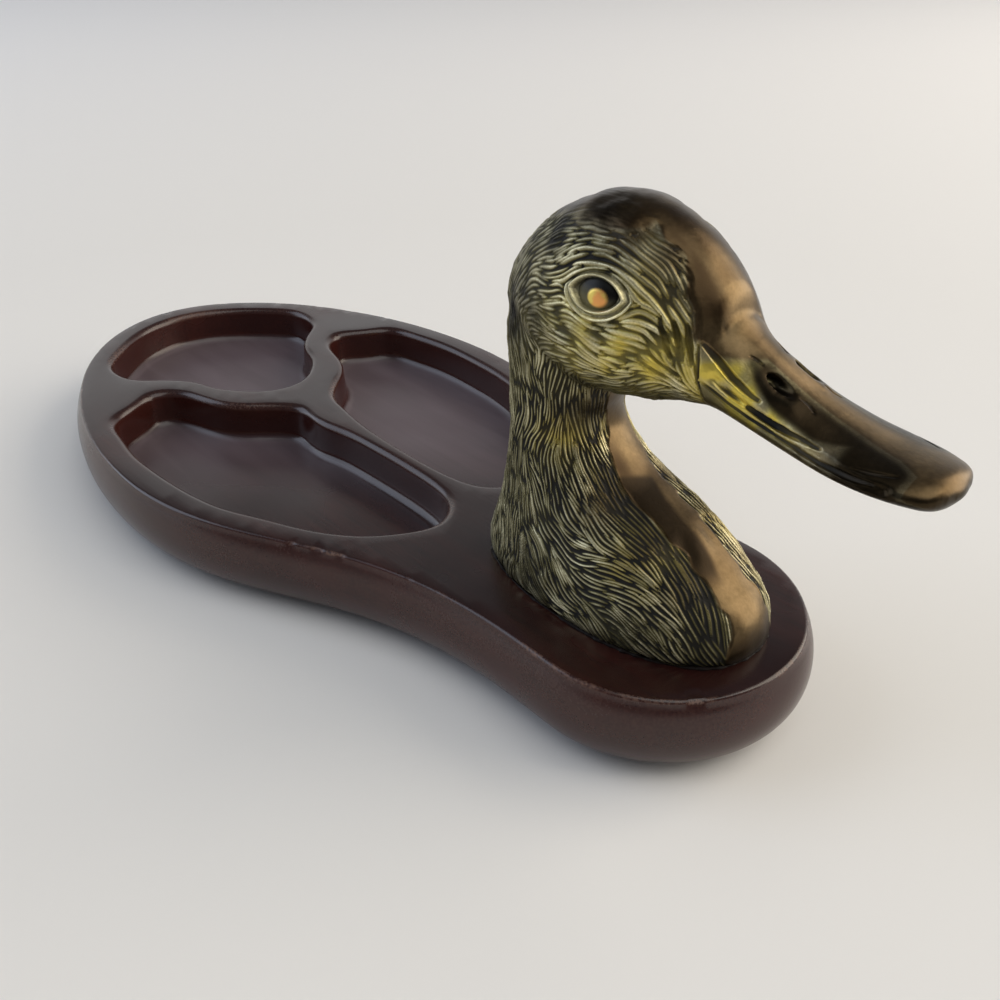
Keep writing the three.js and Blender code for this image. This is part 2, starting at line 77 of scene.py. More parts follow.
# Lines cut by hand into the bill and the cheek: half width, depth, then places forward and up.
HAND_CUTS = [
    (0.9, 0.9, [
        (11.4, 70.6), (13.3, 68.8), (15.4, 67.1), (17.5, 65.5), (20.2, 64.2), (22.1, 63.4), (24.1, 62.9),
    ]),
    (0.55, 0.3, [(15, 63.6), (18, 62.3), (21.4, 61.2)]),
    (0.8, 0.8, [(21.4, 61.2), (24.8, 60.4), (28.2, 59.7), (31.7, 59.4), (35.2, 59.2), (38.1, 59.1)]),
    (0.7, 0.6, [(12.2, 63.6), (17.9, 60.7), (22.8, 59.3), (30, 58.1), (37.4, 57.1), (43, 56.8), (50, 57)]),
    (0.5, 0.4, [(10.8, 71), (11.5, 67.5), (11.9, 64), (12.8, 59.5)]),
    (0.45, 0.25, [(44.4, 58.3), (48, 58.4), (51.8, 58.6)]),
    (0.75, 1.0, [(3.6, 73.8), (5.6, 70), (6.9, 66.8)]),
    (0.75, 1.0, [(6, 74), (7.7, 70.2), (9, 66.6)]),
    (0.75, 1.0, [(8.2, 73.6), (9.6, 69.8), (10.6, 66.2)]),
    (0.6, 0.5, [(0.2, 66.2), (3.4, 64.2), (7, 62.6)]),
    (0.6, 0.5, [(2.6, 67.6), (5.6, 65.4), (9.4, 63.4)]),
    (0.35, 0.3, [(18.4, 69), (19.9, 68.4), (21.5, 67.7)]),
    (0.35, 0.3, [(29.5, 64.3), (31.1, 63.7), (33.5, 62.6)]),
]

# Roundness of a hand-cut line's floor.
CUT_BOW = 3.0

# Lines along the bill's side, forward and up: the slit of the mouth, and the groove above it.
MOUTH = ([12, 18, 23, 30, 37, 43, 50, 56], [63.6, 60.7, 59.3, 58.1, 57.1, 56.8, 57, 57.5])
GROOVE = ([15, 18, 21.4, 24.8, 28.2, 31.7, 35.2, 38], [63.6, 62.3, 61.2, 60.4, 59.7, 59.4, 59.2, 59.1])

# The dark hollow round the nostril, forward and up.
NOSTRIL = ([20, 22.7, 25.5, 30.5], [67.8, 65.7, 63.9, 63.3])

# Patches on the head: place forward, place up, radius, strength.
YELLOW_PATCHES = [
    (10, 66, 5, 1), (15, 65, 7, 1.3), (20, 62.5, 6, 1.2), (16, 69, 4.5, 1), (3, 67, 8, 0.95), (26, 60, 6, 1),
    (-23, 38, 4.5, 0.6), (4, 18, 6, 0.35), (-8, 65, 13, 0.52), (0, 76, 7, 0.4), (-12, 62, 7, 0.32),
    (32, 58.6, 5, 0.6), (-18, 67, 8, 0.3),
]
SOOT_PATCHES = [
    (-28, 84, 9, 0.9), (-16, 89, 7, 0.8), (-32, 72, 10, 0.9), (-36, 62, 9, 0.8), (-23, 68, 8, 0.85),
    (-13, 83, 6, 0.5), (-14, 53, 5, 0.6), (-18, 43, 5, 0.6), (-22, 8, 13, 0.7), (6, 4, 11, 0.62),
    (20, 10, 8, 0.42), (-36, 20, 10, 0.4), (4, 80, 6, 0.3),
]
BROWN_PATCHES = [
    (2, 85, 6, 0.9), (-7, 88, 6, 0.9), (7, 80, 4, 0.8), (-17, 44, 6, 0.8), (-9, 27, 5, 0.7), (4, 21, 4, 0.6),
    (14, 15, 5, 0.5),
]


def length(name, description, default):
    """A length setting in metres."""
    return FloatProperty(name=name, description=description, default=default, unit="LENGTH", precision=5)


def plain_number(name, description, default):
    """A setting without a unit."""
    return FloatProperty(name=name, description=description, default=default)


def whole_number(name, description, default):
    """A setting that is a whole number."""
    return IntProperty(name=name, description=description, default=default)


def angle(name, description, default):
    """An angle setting given in degrees."""
    return FloatProperty(name=name, description=description, default=math.radians(default), subtype="ANGLE")


def colour(name, description, default):
    """A colour setting given as an sRGB hex code."""
    return FloatVectorProperty(
        name=name, description=description, default=linear(default), size=4, subtype="COLOR", min=0, max=1
    )


def linear(code):
    """Linear RGBA of an sRGB hex code."""
    parts = [int(code[i:i + 2], 16) / 255 for i in (1, 3, 5)]
    return [p / 12.92 if p <= 0.04045 else ((p + 0.055) / 1.055) ** 2.4 for p in parts] + [1]


class TraySettings(bpy.types.PropertyGroup):
    """Sizes and colours of the wooden tray."""

    edge_round: length("Edge round", "Radius of the arris round the top", 1.0 * MM)
    edge_swell: length("Edge swell", "How far the side swells out under the top edge", 4.8 * MM)
    edge_swell_depth: length("Swell depth", "How far below the top the side swells most", 9 * MM)
    under_swell: length("Under swell", "How far the side swells out near the underside", 2.6 * MM)
    under_inset: length("Under inset", "How far the flat underside stays inside the top edge", 10 * MM)
    pocket_depth: length("Pocket depth", "Depth of the pockets below the top", 12 * MM)
    lip_round: length("Lip round", "Radius of the pockets' rounded lips", 2.2 * MM)
    wall_draft: length("Wall draft", "How far the pocket walls lean in", 0.4 * MM)
    floor_cove: length("Floor cove", "Radius between pocket walls and floors", 3.2 * MM)
    counterbore_depth: length("Counterbore depth", "Depth of the holes for the screw heads", 10 * MM)
    hand_wobble: length("Hand wobble", "Unevenness left by hand carving", 0.14 * MM)
    chip_depth: length("Chip depth", "Depth of the chips in the worn top edge", 0.22 * MM)
    dark: colour("Dark grain", "Darkest stain", "#150A0A")
    red: colour("Red grain", "Reddest stain", "#391914")
    worn: colour("Worn wood", "Bare wood on worn edges", "#6E5244")
    # Haze is a dull grey on the pockets' floors, least on the duck's right.
    haze: colour("Haze", "Dull bloom on the pockets' floors", "#5C5156")


class DuckSettings(bpy.types.PropertyGroup):
    """Sizes and colours of the brass casting."""

    cell: length("Cell", "Size of the casting's cells before they are halved", 0.5 * MM)
    relax_rounds: whole_number("Relax rounds", "Smoothing of the casting's facets", 220)
    eye_spacing: length("Eye spacing", "Distance between the strands round the eye", 1.7 * MM)
    head_spacing: length("Head spacing", "Distance between the strands on head and cheeks", 1.2 * MM)
    neck_spacing: length("Neck spacing", "Distance between the strands on the neck", 1.0 * MM)
    breast_spacing: length("Breast spacing", "Distance between the strands on the breast", 1.2 * MM)
    cut_share: plain_number("Cut share", "Depth of the ground over the strands' spacing", 0.42)
    lump: length("Lump", "Height of the soft lumps under the feathers", 0.22 * MM)
    bead: length("Bead", "Size of the bead of lacquer round the foot", 0.75 * MM)
    seed: whole_number("Seed", "Number that the feathering is drawn from", 7)
    olive: colour("Olive", "Green patina on the feathers", "#645E3A")
    pale: colour("Pale ridge", "Rubbed metal on the feather ridges", "#F8F1CC")
    yellow: colour("Yellow", "Bright metal at the bill's root", "#D6C058")
    copper: colour("Copper", "Polished crown and breast", "#51432C")
    sheen: colour("Sheen", "Lightest polished metal", "#705E43")
    # The umber colour also paints the bill's dark reflection on the stripe.
    umber_and_reflection: colour("Umber", "Brown patina on the crown", "#382A1B")
    # The soot colour also paints shade in the eye's socket and under the chin, and the bill's dark reflection
    # on the stripe.
    soot_and_shade: colour("Soot", "Dark patina in the cuts", "#110F09")


class EyeSettings(bpy.types.PropertyGroup):
    """Sizes of the eyes."""

    reach: length("Reach", "Half length of the eyeball between its corners", 5.0 * MM)
    rise: length("Rise", "Half height of the eyeball", 3.8 * MM)
    depth: length("Depth", "Half thickness of the eyeball", 2.6 * MM)
    stand: length("Stand", "How far the eyeball stands out of its socket", 1.35 * MM)
    pupil: length("Pupil", "Radius of the gilt pupil", 2.15 * MM)
    pupil_drop: length("Pupil drop", "How far the pupil lies below the eyeball's middle", 0.75 * MM)
    pupil_lead: length("Pupil lead", "How far the pupil lies in front of the eyeball's middle", 0.9 * MM)
    pupil_squat: plain_number("Pupil squat", "The pupil's width over its height", 1.22)
    button: length("Button", "How far the pupil stands out of the eyeball", 0.2 * MM)
    ball: colour("Ball", "Oiled brass of the eyeball", "#6A6548")
    # Shade paints the upper lid's shadow on the eyeball.
    shade: colour("Shade", "Patina under the upper lid", "#0E0E0C")
    gilt: colour("Gilt", "Light rim of the pupil", "#ECD06A")
    amber: colour("Amber", "Middle of the pupil", "#F2AA60")


class FeltSettings(bpy.types.PropertyGroup):
    """Sizes and colours of the felt sheet."""

    edge_fray: length("Edge fray", "Unevenness of the cut edge", 0.2 * MM)
    wool: colour("Wool", "Colour of the felt", "#2F4636")


class StageSettings(bpy.types.PropertyGroup):
    """Camera, floor and lights."""

    camera_at: FloatVectorProperty(
        name="Camera", description="Where the camera stands", default=(0.21687, -0.15333, 0.16739),
        subtype="TRANSLATION", precision=5,
    )
    pitch: angle("Pitch", "How far the camera looks down", 32.144)
    heading: angle("Heading", "Turn of the camera to the left of +Y", 47.236)
    lens: plain_number("Lens", "Focal length in millimetres over a 36 mm wide sensor", 36)
    floor: colour("Floor", "Pale ground near the tray", "#DEDDDA")
    far_floor: colour("Far floor", "Pale ground far from the tray", "#F4F4F4")


# Nodes and meshes


# Kinds of node that are used most.
ATTRIBUTE = "ShaderNodeAttribute"
BUMP = "ShaderNodeBump"
MATH = "ShaderNodeMath"
MIX = "ShaderNodeMix"
NOISE = "ShaderNodeTexNoise"
RANGE = "ShaderNodeMapRange"
STORED = "GeometryNodeInputNamedAttribute"


def set_inputs(tree, node, inputs):
    """Sets a node's inputs, given by name or in order, to values or links them to sockets."""
    for name, value in inputs.items() if isinstance(inputs, dict) else enumerate(inputs):
        if isinstance(value, bpy.types.NodeSocket):
            tree.links.new(value, node.inputs[name])
        else:
            node.inputs[name].default_value = value


def add_node(tree, kind, inputs=(), output=0, **settings):
    """Adds a node with its settings made and its inputs set, and returns one of its outputs."""
    node = tree.nodes.new(kind)
    for name, value in settings.items():
        setattr(node, name, value)
    set_inputs(tree, node, inputs)
    return node.outputs[output] if len(node.outputs) else None


def new_material(name):
    """A material, its node tree, its Principled shader and the socket of the piece's own coordinates."""
    material = bpy.data.materials.new(name)
    material.use_nodes = True
    tree = material.node_tree
    place = add_node(tree, "ShaderNodeTexCoord", output="Object")
    return material, tree, tree.nodes["Principled BSDF"], place


def per_metre(size):
    """Scale of a noise whose grains have a real size in millimetres."""
    return 1 / (size * MM)


def new_object(name, mesh):
    """An object for a mesh, in the scene."""
    piece = bpy.data.objects.new(name, mesh)
    bpy.context.scene.collection.objects.link(piece)
    return piece


def evaluated_mesh(piece):
    """A plain mesh of an object with its modifiers applied."""
    bpy.context.view_layer.update()
    graph = bpy.context.evaluated_depsgraph_get()
    return bpy.data.meshes.new_from_object(
        piece.evaluated_get(graph), preserve_all_data_layers=True, depsgraph=graph
    )


def drop(piece):
    """Removes a helper object and its mesh."""
    mesh = piece.data
    bpy.data.objects.remove(piece)
    bpy.data.meshes.remove(mesh)


def read_points(mesh):
    """The mesh's vertices as an array."""
    points = np.empty(len(mesh.vertices) * 3)
    mesh.vertices.foreach_get("co", points)
    return points.reshape(-1, 3)


def read_normals(mesh):
    """The mesh's vertex normals as an array."""
    normals = np.empty(len(mesh.vertices) * 3, np.float32)
    mesh.vertex_normals.foreach_get("vector", normals)
    return normals.reshape(-1, 3).astype(float)


def write_points(mesh, points):
    """Puts an array back as the mesh's vertices."""
    mesh.vertices.foreach_set("co", points.ravel())
    mesh.update()


def write_mask(mesh, name, values):
    """Stores one number per vertex."""
    layer = mesh.attributes.get(name) or mesh.attributes.new(name, "FLOAT", "POINT")
    layer.data.foreach_set("value", np.ascontiguousarray(values, np.float32))


def shade_smooth(mesh):
    """Smooth shading on every face."""
    mesh.polygons.foreach_set("use_smooth", np.ones(len(mesh.polygons), bool))


def finish_piece(piece, slot_name, *nodes):
    """Ties a piece to the frame."""
    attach(piece, "root")
    if nodes:
        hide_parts(*nodes)


def ripple(points, size, seed):
    """Smooth random heights, mostly between -1 and 1, with waves of about a size."""
    draw = np.random.default_rng(seed)
    waves = draw.normal(size=(24, points.shape[1])) * (2.4 / size)
    phases = draw.uniform(0, 2 * math.pi, 24)
    return np.sin(points @ waves.T + phases).sum(1) / 6


def ease(value, low, high):
    """Smooth step from 0 at low to 1 at high, and the other way where low is above high."""
    share = np.clip((value - low) / (high - low), 0, 1)
    return share * share * (3 - 2 * share)


# Loops in plan


def flat_loops(node, height):
    """Closed loops round a CAD node's flat faces at a height, longest first, as arrays in plan."""
    mesh = bmesh.new()
    mesh.from_mesh(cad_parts[node].data)
    bmesh.ops.remove_doubles(mesh, verts=mesh.verts, dist=1e-6)
    flat = [f for f in mesh.faces if all(abs(v.co.z - height) < 1e-6 for v in f.verts)]
    chosen = set(flat)
    after = {}
    for face in flat:
        for loop in face.loops:
            if sum(f in chosen for f in loop.edge.link_faces) == 1:
                after[loop.vert] = loop.link_loop_next.vert
    loops = []
    while after:
        start, vert = next(iter(after.items()))
        ring = [start]
        del after[start]
        while vert is not start:
            ring.append(vert)
            vert = after.pop(vert)
        loops.append(np.array([v.co.xy for v in ring]))
    mesh.free()
    loops = [ring if area_of(ring) > 0 else ring[::-1] for ring in loops]
    return sorted(loops, key=lambda ring: -area_of(ring))


def area_of(ring):
    """Signed area of a loop in plan."""
    after = np.roll(ring, -1, 0)
    return 0.5 * float(np.sum(ring[:, 0] * after[:, 1] - after[:, 0] * ring[:, 1]))


def smooth_loop(ring, count):
    """A closed loop through points as a periodic cubic spline, at even steps."""
    after = np.roll(ring, -1, 0)
    step = np.linalg.norm(after - ring, axis=1)
    before = np.roll(step, 1)
    size = len(ring)
    index = np.arange(size)
    system = np.diag(2 * (step + before))
    system[index, (index + 1) % size] += step
    system[index, (index - 1) % size] += before
    slope = (after - ring) / step[:, None]
    bend = np.linalg.solve(system, 6 * (slope - np.roll(slope, 1, 0)))
    start = np.concatenate([[0], np.cumsum(step)])
    place = np.linspace(0, start[-1], count, endpoint=False)
    at = np.clip(np.searchsorted(start, place, side="right") - 1, 0, size - 1)
    b = ((place - start[at]) / step[at])[:, None]
    a = 1 - b
    cubic = ((a ** 3 - a) * bend[at] + (b ** 3 - b) * bend[(at + 1) % size]) * step[at][:, None] ** 2 / 6
    return a * ring[at] + b * after[at] + cubic


def inwards_of(ring):
    """Unit directions into a closed anticlockwise loop, square to it."""
    along = np.roll(ring, -1, 0) - np.roll(ring, 1, 0)
    along /= np.linalg.norm(along, axis=1)[:, None]
    return np.c_[-along[:, 1], along[:, 0]]


def inset_loop(ring, distance):
    """A closed anticlockwise loop moved inwards in small steps, relaxed so that tight bends don't fold."""
    steps = max(1, int(abs(distance) / (0.25 * MM)))
    for _ in range(steps):
        ring = ring + inwards_of(ring) * (distance / steps)
        ring = even_loop(relax_loop(ring, 3))
    return ring


def relax_loop(ring, rounds):
    """A closed loop with its bends evened out."""
    for _ in range(rounds):
        ring = 0.5 * ring + 0.25 * (np.roll(ring, 1, 0) + np.roll(ring, -1, 0))
    return ring


def even_loop(ring):
    """A closed loop with its points moved along it to even steps."""
    closed = np.vstack([ring, ring[:1]])
    place = np.concatenate([[0], np.cumsum(np.linalg.norm(np.diff(closed, axis=0), axis=1))])
    steps = np.linspace(0, place[-1], len(ring), endpoint=False)
    return np.column_stack([np.interp(steps, place, closed[:, k]) for k in (0, 1)])


def inside(points, ring):
    """Which points in plan lie inside a closed loop."""
    x, y = points[:, :1], points[:, 1:2]
    x0, y0 = ring[:, 0], ring[:, 1]
    x1, y1 = np.roll(x0, -1), np.roll(y0, -1)
    crosses = (y0 > y) != (y1 > y)
    rise = np.where(y1 == y0, 1, y1 - y0)
    return (crosses & (x < x0 + (y - y0) / rise * (x1 - x0))).sum(1) % 2 == 1


def haze_at(plan):
    """How much of the dull grey haze the pockets' floors get: least on the duck's right."""
    return 0.02 + 0.88 * ease(0.68 * plan[:, 1] - 0.73 * plan[:, 0], -20 * MM, 26 * MM)


class Draft:
    """A mesh in the making: rings of points, strips between rings and filled flats."""

    def __init__(self):
        self.points, self.faces, self.wear, self.haze, self.count = [], [], [], [], 0

    def ring(self, plan, height, wear=0.0, haze=0.0):
        """Adds points and returns their numbers."""
        block = np.column_stack([plan, np.broadcast_to(height, len(plan))])
        self.points.append(block)
        self.wear.append(np.broadcast_to(wear, len(plan)))
        self.haze.append(np.broadcast_to(haze, len(plan)))
        self.count += len(block)
        return np.arange(self.count - len(block), self.count)

    def strip(self, low, high):
        """Joins two anticlockwise rings with quads that face outwards where low is under high."""
        quads = np.column_stack([low, np.roll(low, -1), np.roll(high, -1), high])
        self.faces.extend(quads.tolist())

    def strips(self, rings):
        """Joins each ring to the next."""
        for low, high in zip(rings, rings[1:]):
            self.strip(low, high)

    def flat(self, rings, grid, height, facing_up, swell=0.0, seed=0, haze_at=None):
        """Fills between the first ring and the others with triangles through a grid of points."""
        every = np.vstack(self.points)
        plans = [every[ring][:, :2] for ring in rings]
        edge = np.vstack(plans)
        low, high = edge.min(0), edge.max(0)
        xs, ys = np.arange(low[0], high[0], grid), np.arange(low[1], high[1], grid * 0.866)
        mesh_x, mesh_y = np.meshgrid(xs, ys)
        mesh_x = mesh_x + (np.arange(len(ys)) % 2)[:, None] * grid / 2
        dots = np.column_stack([mesh_x.ravel(), mesh_y.ravel()])
        keep = inside(dots, plans[0])
        for plan in plans[1:]:
            keep &= ~inside(dots, plan)
        dots = dots[keep]
        gap = np.array([np.min(np.sum((edge - dot) ** 2, 1)) for dot in dots])
        far = np.sqrt(gap) > grid * 0.45
        dots, gap = dots[far], np.sqrt(gap[far])
        lift = swell * ripple(dots, 26 * MM, seed) * ease(gap, 0, 5 * MM)
        haze = haze_at(dots) if haze_at else 0.0
        numbers = np.concatenate([*rings, self.ring(dots, height + lift, 0.0, haze)])
        seams, start = [], 0
        for plan in plans:
            here = np.arange(start, start + len(plan))
            seams.extend(np.column_stack([here, np.roll(here, -1)]).tolist())
            start += len(plan)
        spots = np.vstack([edge, dots])
        _, _, faces, origins, _, _ = delaunay_2d_cdt([Vector(p) for p in spots], seams, [], 0, 1e-9)
        faces = np.array([[origins[v][0] for v in f] for f in faces])
        middle = spots[faces].mean(1)
        keep = inside(middle, plans[0])
        for plan in plans[1:]:
            keep &= ~inside(middle, plan)
        faces = numbers[faces[keep]]
        self.faces.extend((faces if facing_up else faces[:, ::-1]).tolist())

    def mesh(self, name):
        """The finished mesh."""
        made = bpy.data.meshes.new(name)
        made.from_pydata(np.vstack(self.points).tolist(), [], self.faces)
        write_mask(made, "wear", np.concatenate(self.wear))
        write_mask(made, "haze", np.concatenate(self.haze))
        shade_smooth(made)
        made.validate()
        return made


# Materials


def mahogany(settings):
    """Dark red hardwood under satin lacquer: streaks along the tray, blotches of stain, pale rubbed edges."""
    material, tree, shader, place = new_material("stained_mahogany")
    # The grain runs along the tray, so its noises are drawn out that way. Real pores are finer than these,
    # which are as coarse as they need to be to show.
    long = add_node(tree, "ShaderNodeMapping", {"Vector": place, "Scale": (0.09, 1, 1)})
    grain = add_node(tree, NOISE, {"Vector": long, "Scale": per_metre(1.1), "Detail": 5, "Roughness": 0.6})
    bands = add_node(tree, NOISE, {"Vector": long, "Scale": per_metre(5.3), "Detail": 3, "Distortion": 0.6})
    blotch = add_node(tree, NOISE, {"Vector": place, "Scale": per_metre(36), "Detail": 3})
    streak = add_node(tree, MATH, (grain, bands), operation="ADD")
    share = add_node(tree, RANGE, (streak, 0.72, 1.3, 0, 0.75))
    stain = add_node(tree, RANGE, (blotch, 0.38, 0.68, 0, 0.85))
    both = add_node(tree, MATH, (share, stain), operation="MULTIPLY")
    # Painted light: the sides and the pockets' walls are coloured redder than the flats by which way they
    # face.
    facing = add_node(tree, "ShaderNodeNewGeometry", output="Normal")
    upright = add_node(tree, "ShaderNodeSeparateXYZ", (facing,), "Z")
    lean = add_node(tree, RANGE, (upright, 0.3, 0.9, 1, 0))
    warm = add_node(tree, MATH, (lean, 0.46, 0.18), operation="MULTIPLY_ADD")
    red_by_stain_and_facing = add_node(tree, MATH, (both, warm), operation="ADD", use_clamp=True)
    wood = add_node(tree, MIX, {0: red_by_stain_and_facing, 6: settings.dark, 7: settings.red}, 2, data_type="RGBA")
    wear, haze = [add_node(tree, ATTRIBUTE, output="Fac", attribute_name=name) for name in ("wear", "haze")]
    speck = add_node(tree, NOISE, {"Vector": place, "Scale": per_metre(0.67), "Detail": 2})
    rub = add_node(tree, RANGE, (speck, 0.4, 0.62, 0.1, 1))
    rubbed = add_node(tree, MATH, (wear, rub), operation="MULTIPLY", use_clamp=True)
    bare = add_node(tree, MIX, {0: rubbed, 6: wood, 7: settings.worn}, 2, data_type="RGBA")
    cloudy = add_node(tree, RANGE, (bands, 0.3, 0.7, 0.75, 1.1))
    floor_haze = add_node(tree, MATH, (haze, cloudy), operation="MULTIPLY", use_clamp=True)
    final = add_node(tree, MIX, {0: floor_haze, 6: bare, 7: settings.haze}, 2, data_type="RGBA")
    smear = add_node(tree, RANGE, (blotch, 0.3, 0.7, 0.17, 0.3))
    worn = add_node(tree, MATH, (rubbed, 0.25, smear), operation="MULTIPLY_ADD")
    dull = add_node(tree, MATH, (floor_haze, 0.25, worn), operation="MULTIPLY_ADD")
    pore = add_node(tree, BUMP, {"Strength": 0.12, "Distance": 0.2 * MM, "Height": grain})
    set_inputs(tree, shader, {"Base Color": final, "Roughness": dull, "Normal": pore})
    return material


def lacquer_bead():
    """Lacquer gathered round the casting's foot: nearly black and lumpy, with a dull shine; its black also
    paints the contact shadow where the casting meets the tray.
    """
    material, tree, shader, place = new_material("dark_lacquer_and_shadow")
    lump = add_node(tree, NOISE, {"Vector": place, "Scale": per_metre(1.1), "Detail": 3})
    tone = add_node(tree, MIX, {0: lump, 6: linear("#050403"), 7: linear("#160D0A")}, 2, data_type="RGBA")
    gloss = add_node(tree, RANGE, (lump, 0.35, 0.65, 0.35, 0.7))
    wet = add_node(tree, BUMP, {"Strength": 0.8, "Distance": 0.4 * MM, "Height": lump})
    finish = {"Base Color": tone, "Roughness": gloss, "Normal": wet, "Specular IOR Level": 0.12}
    set_inputs(tree, shader, finish)
    return material


def cast_brass(settings):
    """Antique brass: dark olive feathers with pale rubbed ridges, black cuts, smooth tan polished places."""
    material, tree, shader, place = new_material("antique_cast_brass")
    cut, polish, yellow, soot_and_shade, grime, bill_ridge_highlight, umber_and_reflection, spare = [
        add_node(tree, ATTRIBUTE, output="Fac", attribute_name=name)
        for name in ("cut", "polish", "yellow", "soot_and_shade", "grime", "bill_ridge_highlight", "umber_and_reflection", "spare")
    ]
    cloud = add_node(tree, NOISE, {"Vector": place, "Scale": per_metre(5.9), "Detail": 4})
    fine = add_node(tree, NOISE, {"Vector": place, "Scale": per_metre(0.9), "Detail": 3})
    grit = add_node(tree, NOISE, {"Vector": place, "Scale": per_metre(0.38), "Detail": 2})
    # Feathers: olive ground, pale where a strand's back is rubbed, golden in the yellow patches.
    rub = add_node(tree, RANGE, (cut, 0.12, 0.55, 1, 0))
    patchy = add_node(tree, RANGE, (cloud, 0.32, 0.68, 0.5))
    grain = add_node(tree, RANGE, (grit, 0.35, 0.6, 0.7))
    gritty = add_node(tree, MATH, (patchy, grain), operation="MULTIPLY")
    ridge = add_node(tree, MATH, (rub, gritty), operation="MULTIPLY")
    feather = add_node(tree, MIX, {0: ridge, 6: settings.olive, 7: settings.pale}, 2, data_type="RGBA")
    golden = add_node(tree, MIX, {0: yellow, 6: feather, 7: settings.yellow}, 2, data_type="RGBA")
    # Polished places: copper to sheen, browned where the umber lies. A painted highlight on the bill's ridge
    # goes past the sheen.
    speckle = add_node(tree, MATH, (fine, 0.5, cloud), operation="MULTIPLY_ADD")
    tone = add_node(tree, RANGE, (speckle, 0.5, 1))
    shine = add_node(tree, MATH, (bill_ridge_highlight, tone), operation="ADD")
    tans = {0: shine, 6: settings.copper, 7: settings.sheen}
    bright = add_node(tree, MIX, tans, 2, data_type="RGBA", clamp_factor=False)
    brown = add_node(tree, MIX, {0: umber_and_reflection, 6: bright, 7: settings.umber_and_reflection}, 2, data_type="RGBA")
    metal = add_node(tree, MIX, {0: polish, 6: golden, 7: brown}, 2, data_type="RGBA")
    # Dark patina lies in the cuts and in the sooty patches, and the same dark paints shade in the eye's
    # socket and under the chin and the bill's dark reflection on the stripe; crests may show through.
    cleft = add_node(tree, RANGE, (cut, 0.45, 0.85), interpolation_type="SMOOTHSTEP")
    deep = add_node(tree, MATH, (cleft, grime), operation="MULTIPLY")
    crest = add_node(tree, MATH, (ridge, spare), operation="MULTIPLY")
    grimy = add_node(tree, MATH, (1, crest), operation="SUBTRACT")
    sooty = add_node(tree, MATH, (soot_and_shade, grimy), operation="MULTIPLY")
    dark = add_node(tree, MATH, (deep, sooty), operation="MAXIMUM", use_clamp=True)
    final = add_node(tree, MIX, {0: dark, 6: metal, 7: settings.soot_and_shade}, 2, data_type="RGBA")
    metallic = add_node(tree, MATH, (cleft, -0.5, 0.95), operation="MULTIPLY_ADD")
    matt = add_node(tree, MATH, (polish, -0.1, 0.36), operation="MULTIPLY_ADD")
    dull = add_node(tree, MATH, (cleft, 0.25, matt), operation="MULTIPLY_ADD")
    mottle = add_node(tree, MATH, (fine, 0.14, dull), operation="MULTIPLY_ADD")
    rough = add_node(tree, MATH, (grit, 0.6, fine), operation="MULTIPLY_ADD")
    soft = add_node(tree, MATH, (polish, -0.4, 0.55), operation="MULTIPLY_ADD")
    pit = add_node(tree, BUMP, {"Strength": soft, "Distance": 0.15 * MM, "Height": rough})
    set_inputs(tree, shader, {"Base Color": final, "Metallic": metallic, "Roughness": mottle, "Normal": pit})
    return material


def gilt_eye(settings):
    """Eyeball of oiled brass, with the upper lid's shadow painted black over its top, and a soft gilt spot
    for the pupil.
    """
    material, tree, shader, place = new_material("gilt_brass_eye")
    shade, pupil = [
        add_node(tree, ATTRIBUTE, output="Fac", attribute_name=name) for name in ("shade", "pupil")
    ]
    cloud = add_node(tree, NOISE, {"Vector": place, "Scale": per_metre(2.4), "Detail": 3})
    warm = add_node(tree, RANGE, (cloud, 0.4, 0.6))
    gilt = add_node(tree, MIX, {0: warm, 6: settings.gilt, 7: settings.amber}, 2, data_type="RGBA")
    ball = add_node(tree, MIX, {0: shade, 6: settings.ball, 7: settings.shade}, 2, data_type="RGBA")
    final = add_node(tree, MIX, {0: pupil, 6: ball, 7: gilt}, 2, data_type="RGBA")
    rough = add_node(tree, RANGE, (cloud, 0, 1, 0.3, 0.5))
    set_inputs(tree, shader, {"Base Color": final, "Metallic": 0.6, "Roughness": rough})
    return material


def zinc_steel():
    """Zinc plated steel: cool grey metal with faint cloudy plating."""
    material, tree, shader, place = new_material("zinc_plated_steel")
    cloud = add_node(tree, NOISE, {"Vector": place, "Scale": per_metre(1.4), "Detail": 3})
    plate = add_node(tree, MIX, {0: cloud, 6: linear("#9A9C9C"), 7: linear("#C4C6C4")}, 2, data_type="RGBA")
    rough = add_node(tree, RANGE, (cloud, 0, 1, 0.25, 0.5))
    set_inputs(tree, shader, {"Base Color": plate, "Metallic": 1, "Roughness": rough})
    return material


def wool_felt(settings):
    """Pressed wool felt: matt, with tangled fibres and a soft halo."""
    material, tree, shader, place = new_material("wool_felt")
    # Real fibres are finer: these are as coarse as they need to be to show.
    tangle = {"Vector": place, "Scale": per_metre(0.55), "Detail": 6, "Distortion": 1.5}
    fibre = add_node(tree, NOISE, tangle)
    patch = add_node(tree, NOISE, {"Vector": place, "Scale": per_metre(17), "Detail": 2})
    light = [min(1, c * 1.9) for c in settings.wool[:3]] + [1]
    both = add_node(tree, MATH, (fibre, patch), operation="MULTIPLY")
    share = add_node(tree, RANGE, (both, 0.12, 0.42))
    wool = add_node(tree, MIX, {0: share, 6: settings.wool, 7: light}, 2, data_type="RGBA")
    fuzz = add_node(tree, BUMP, {"Strength": 0.6, "Distance": 0.3 * MM, "Height": fibre})
    set_inputs(tree, shader, {"Base Color": wool, "Roughness": 0.95, "Sheen Weight": 0.3, "Normal": fuzz})
    return material


# Tray


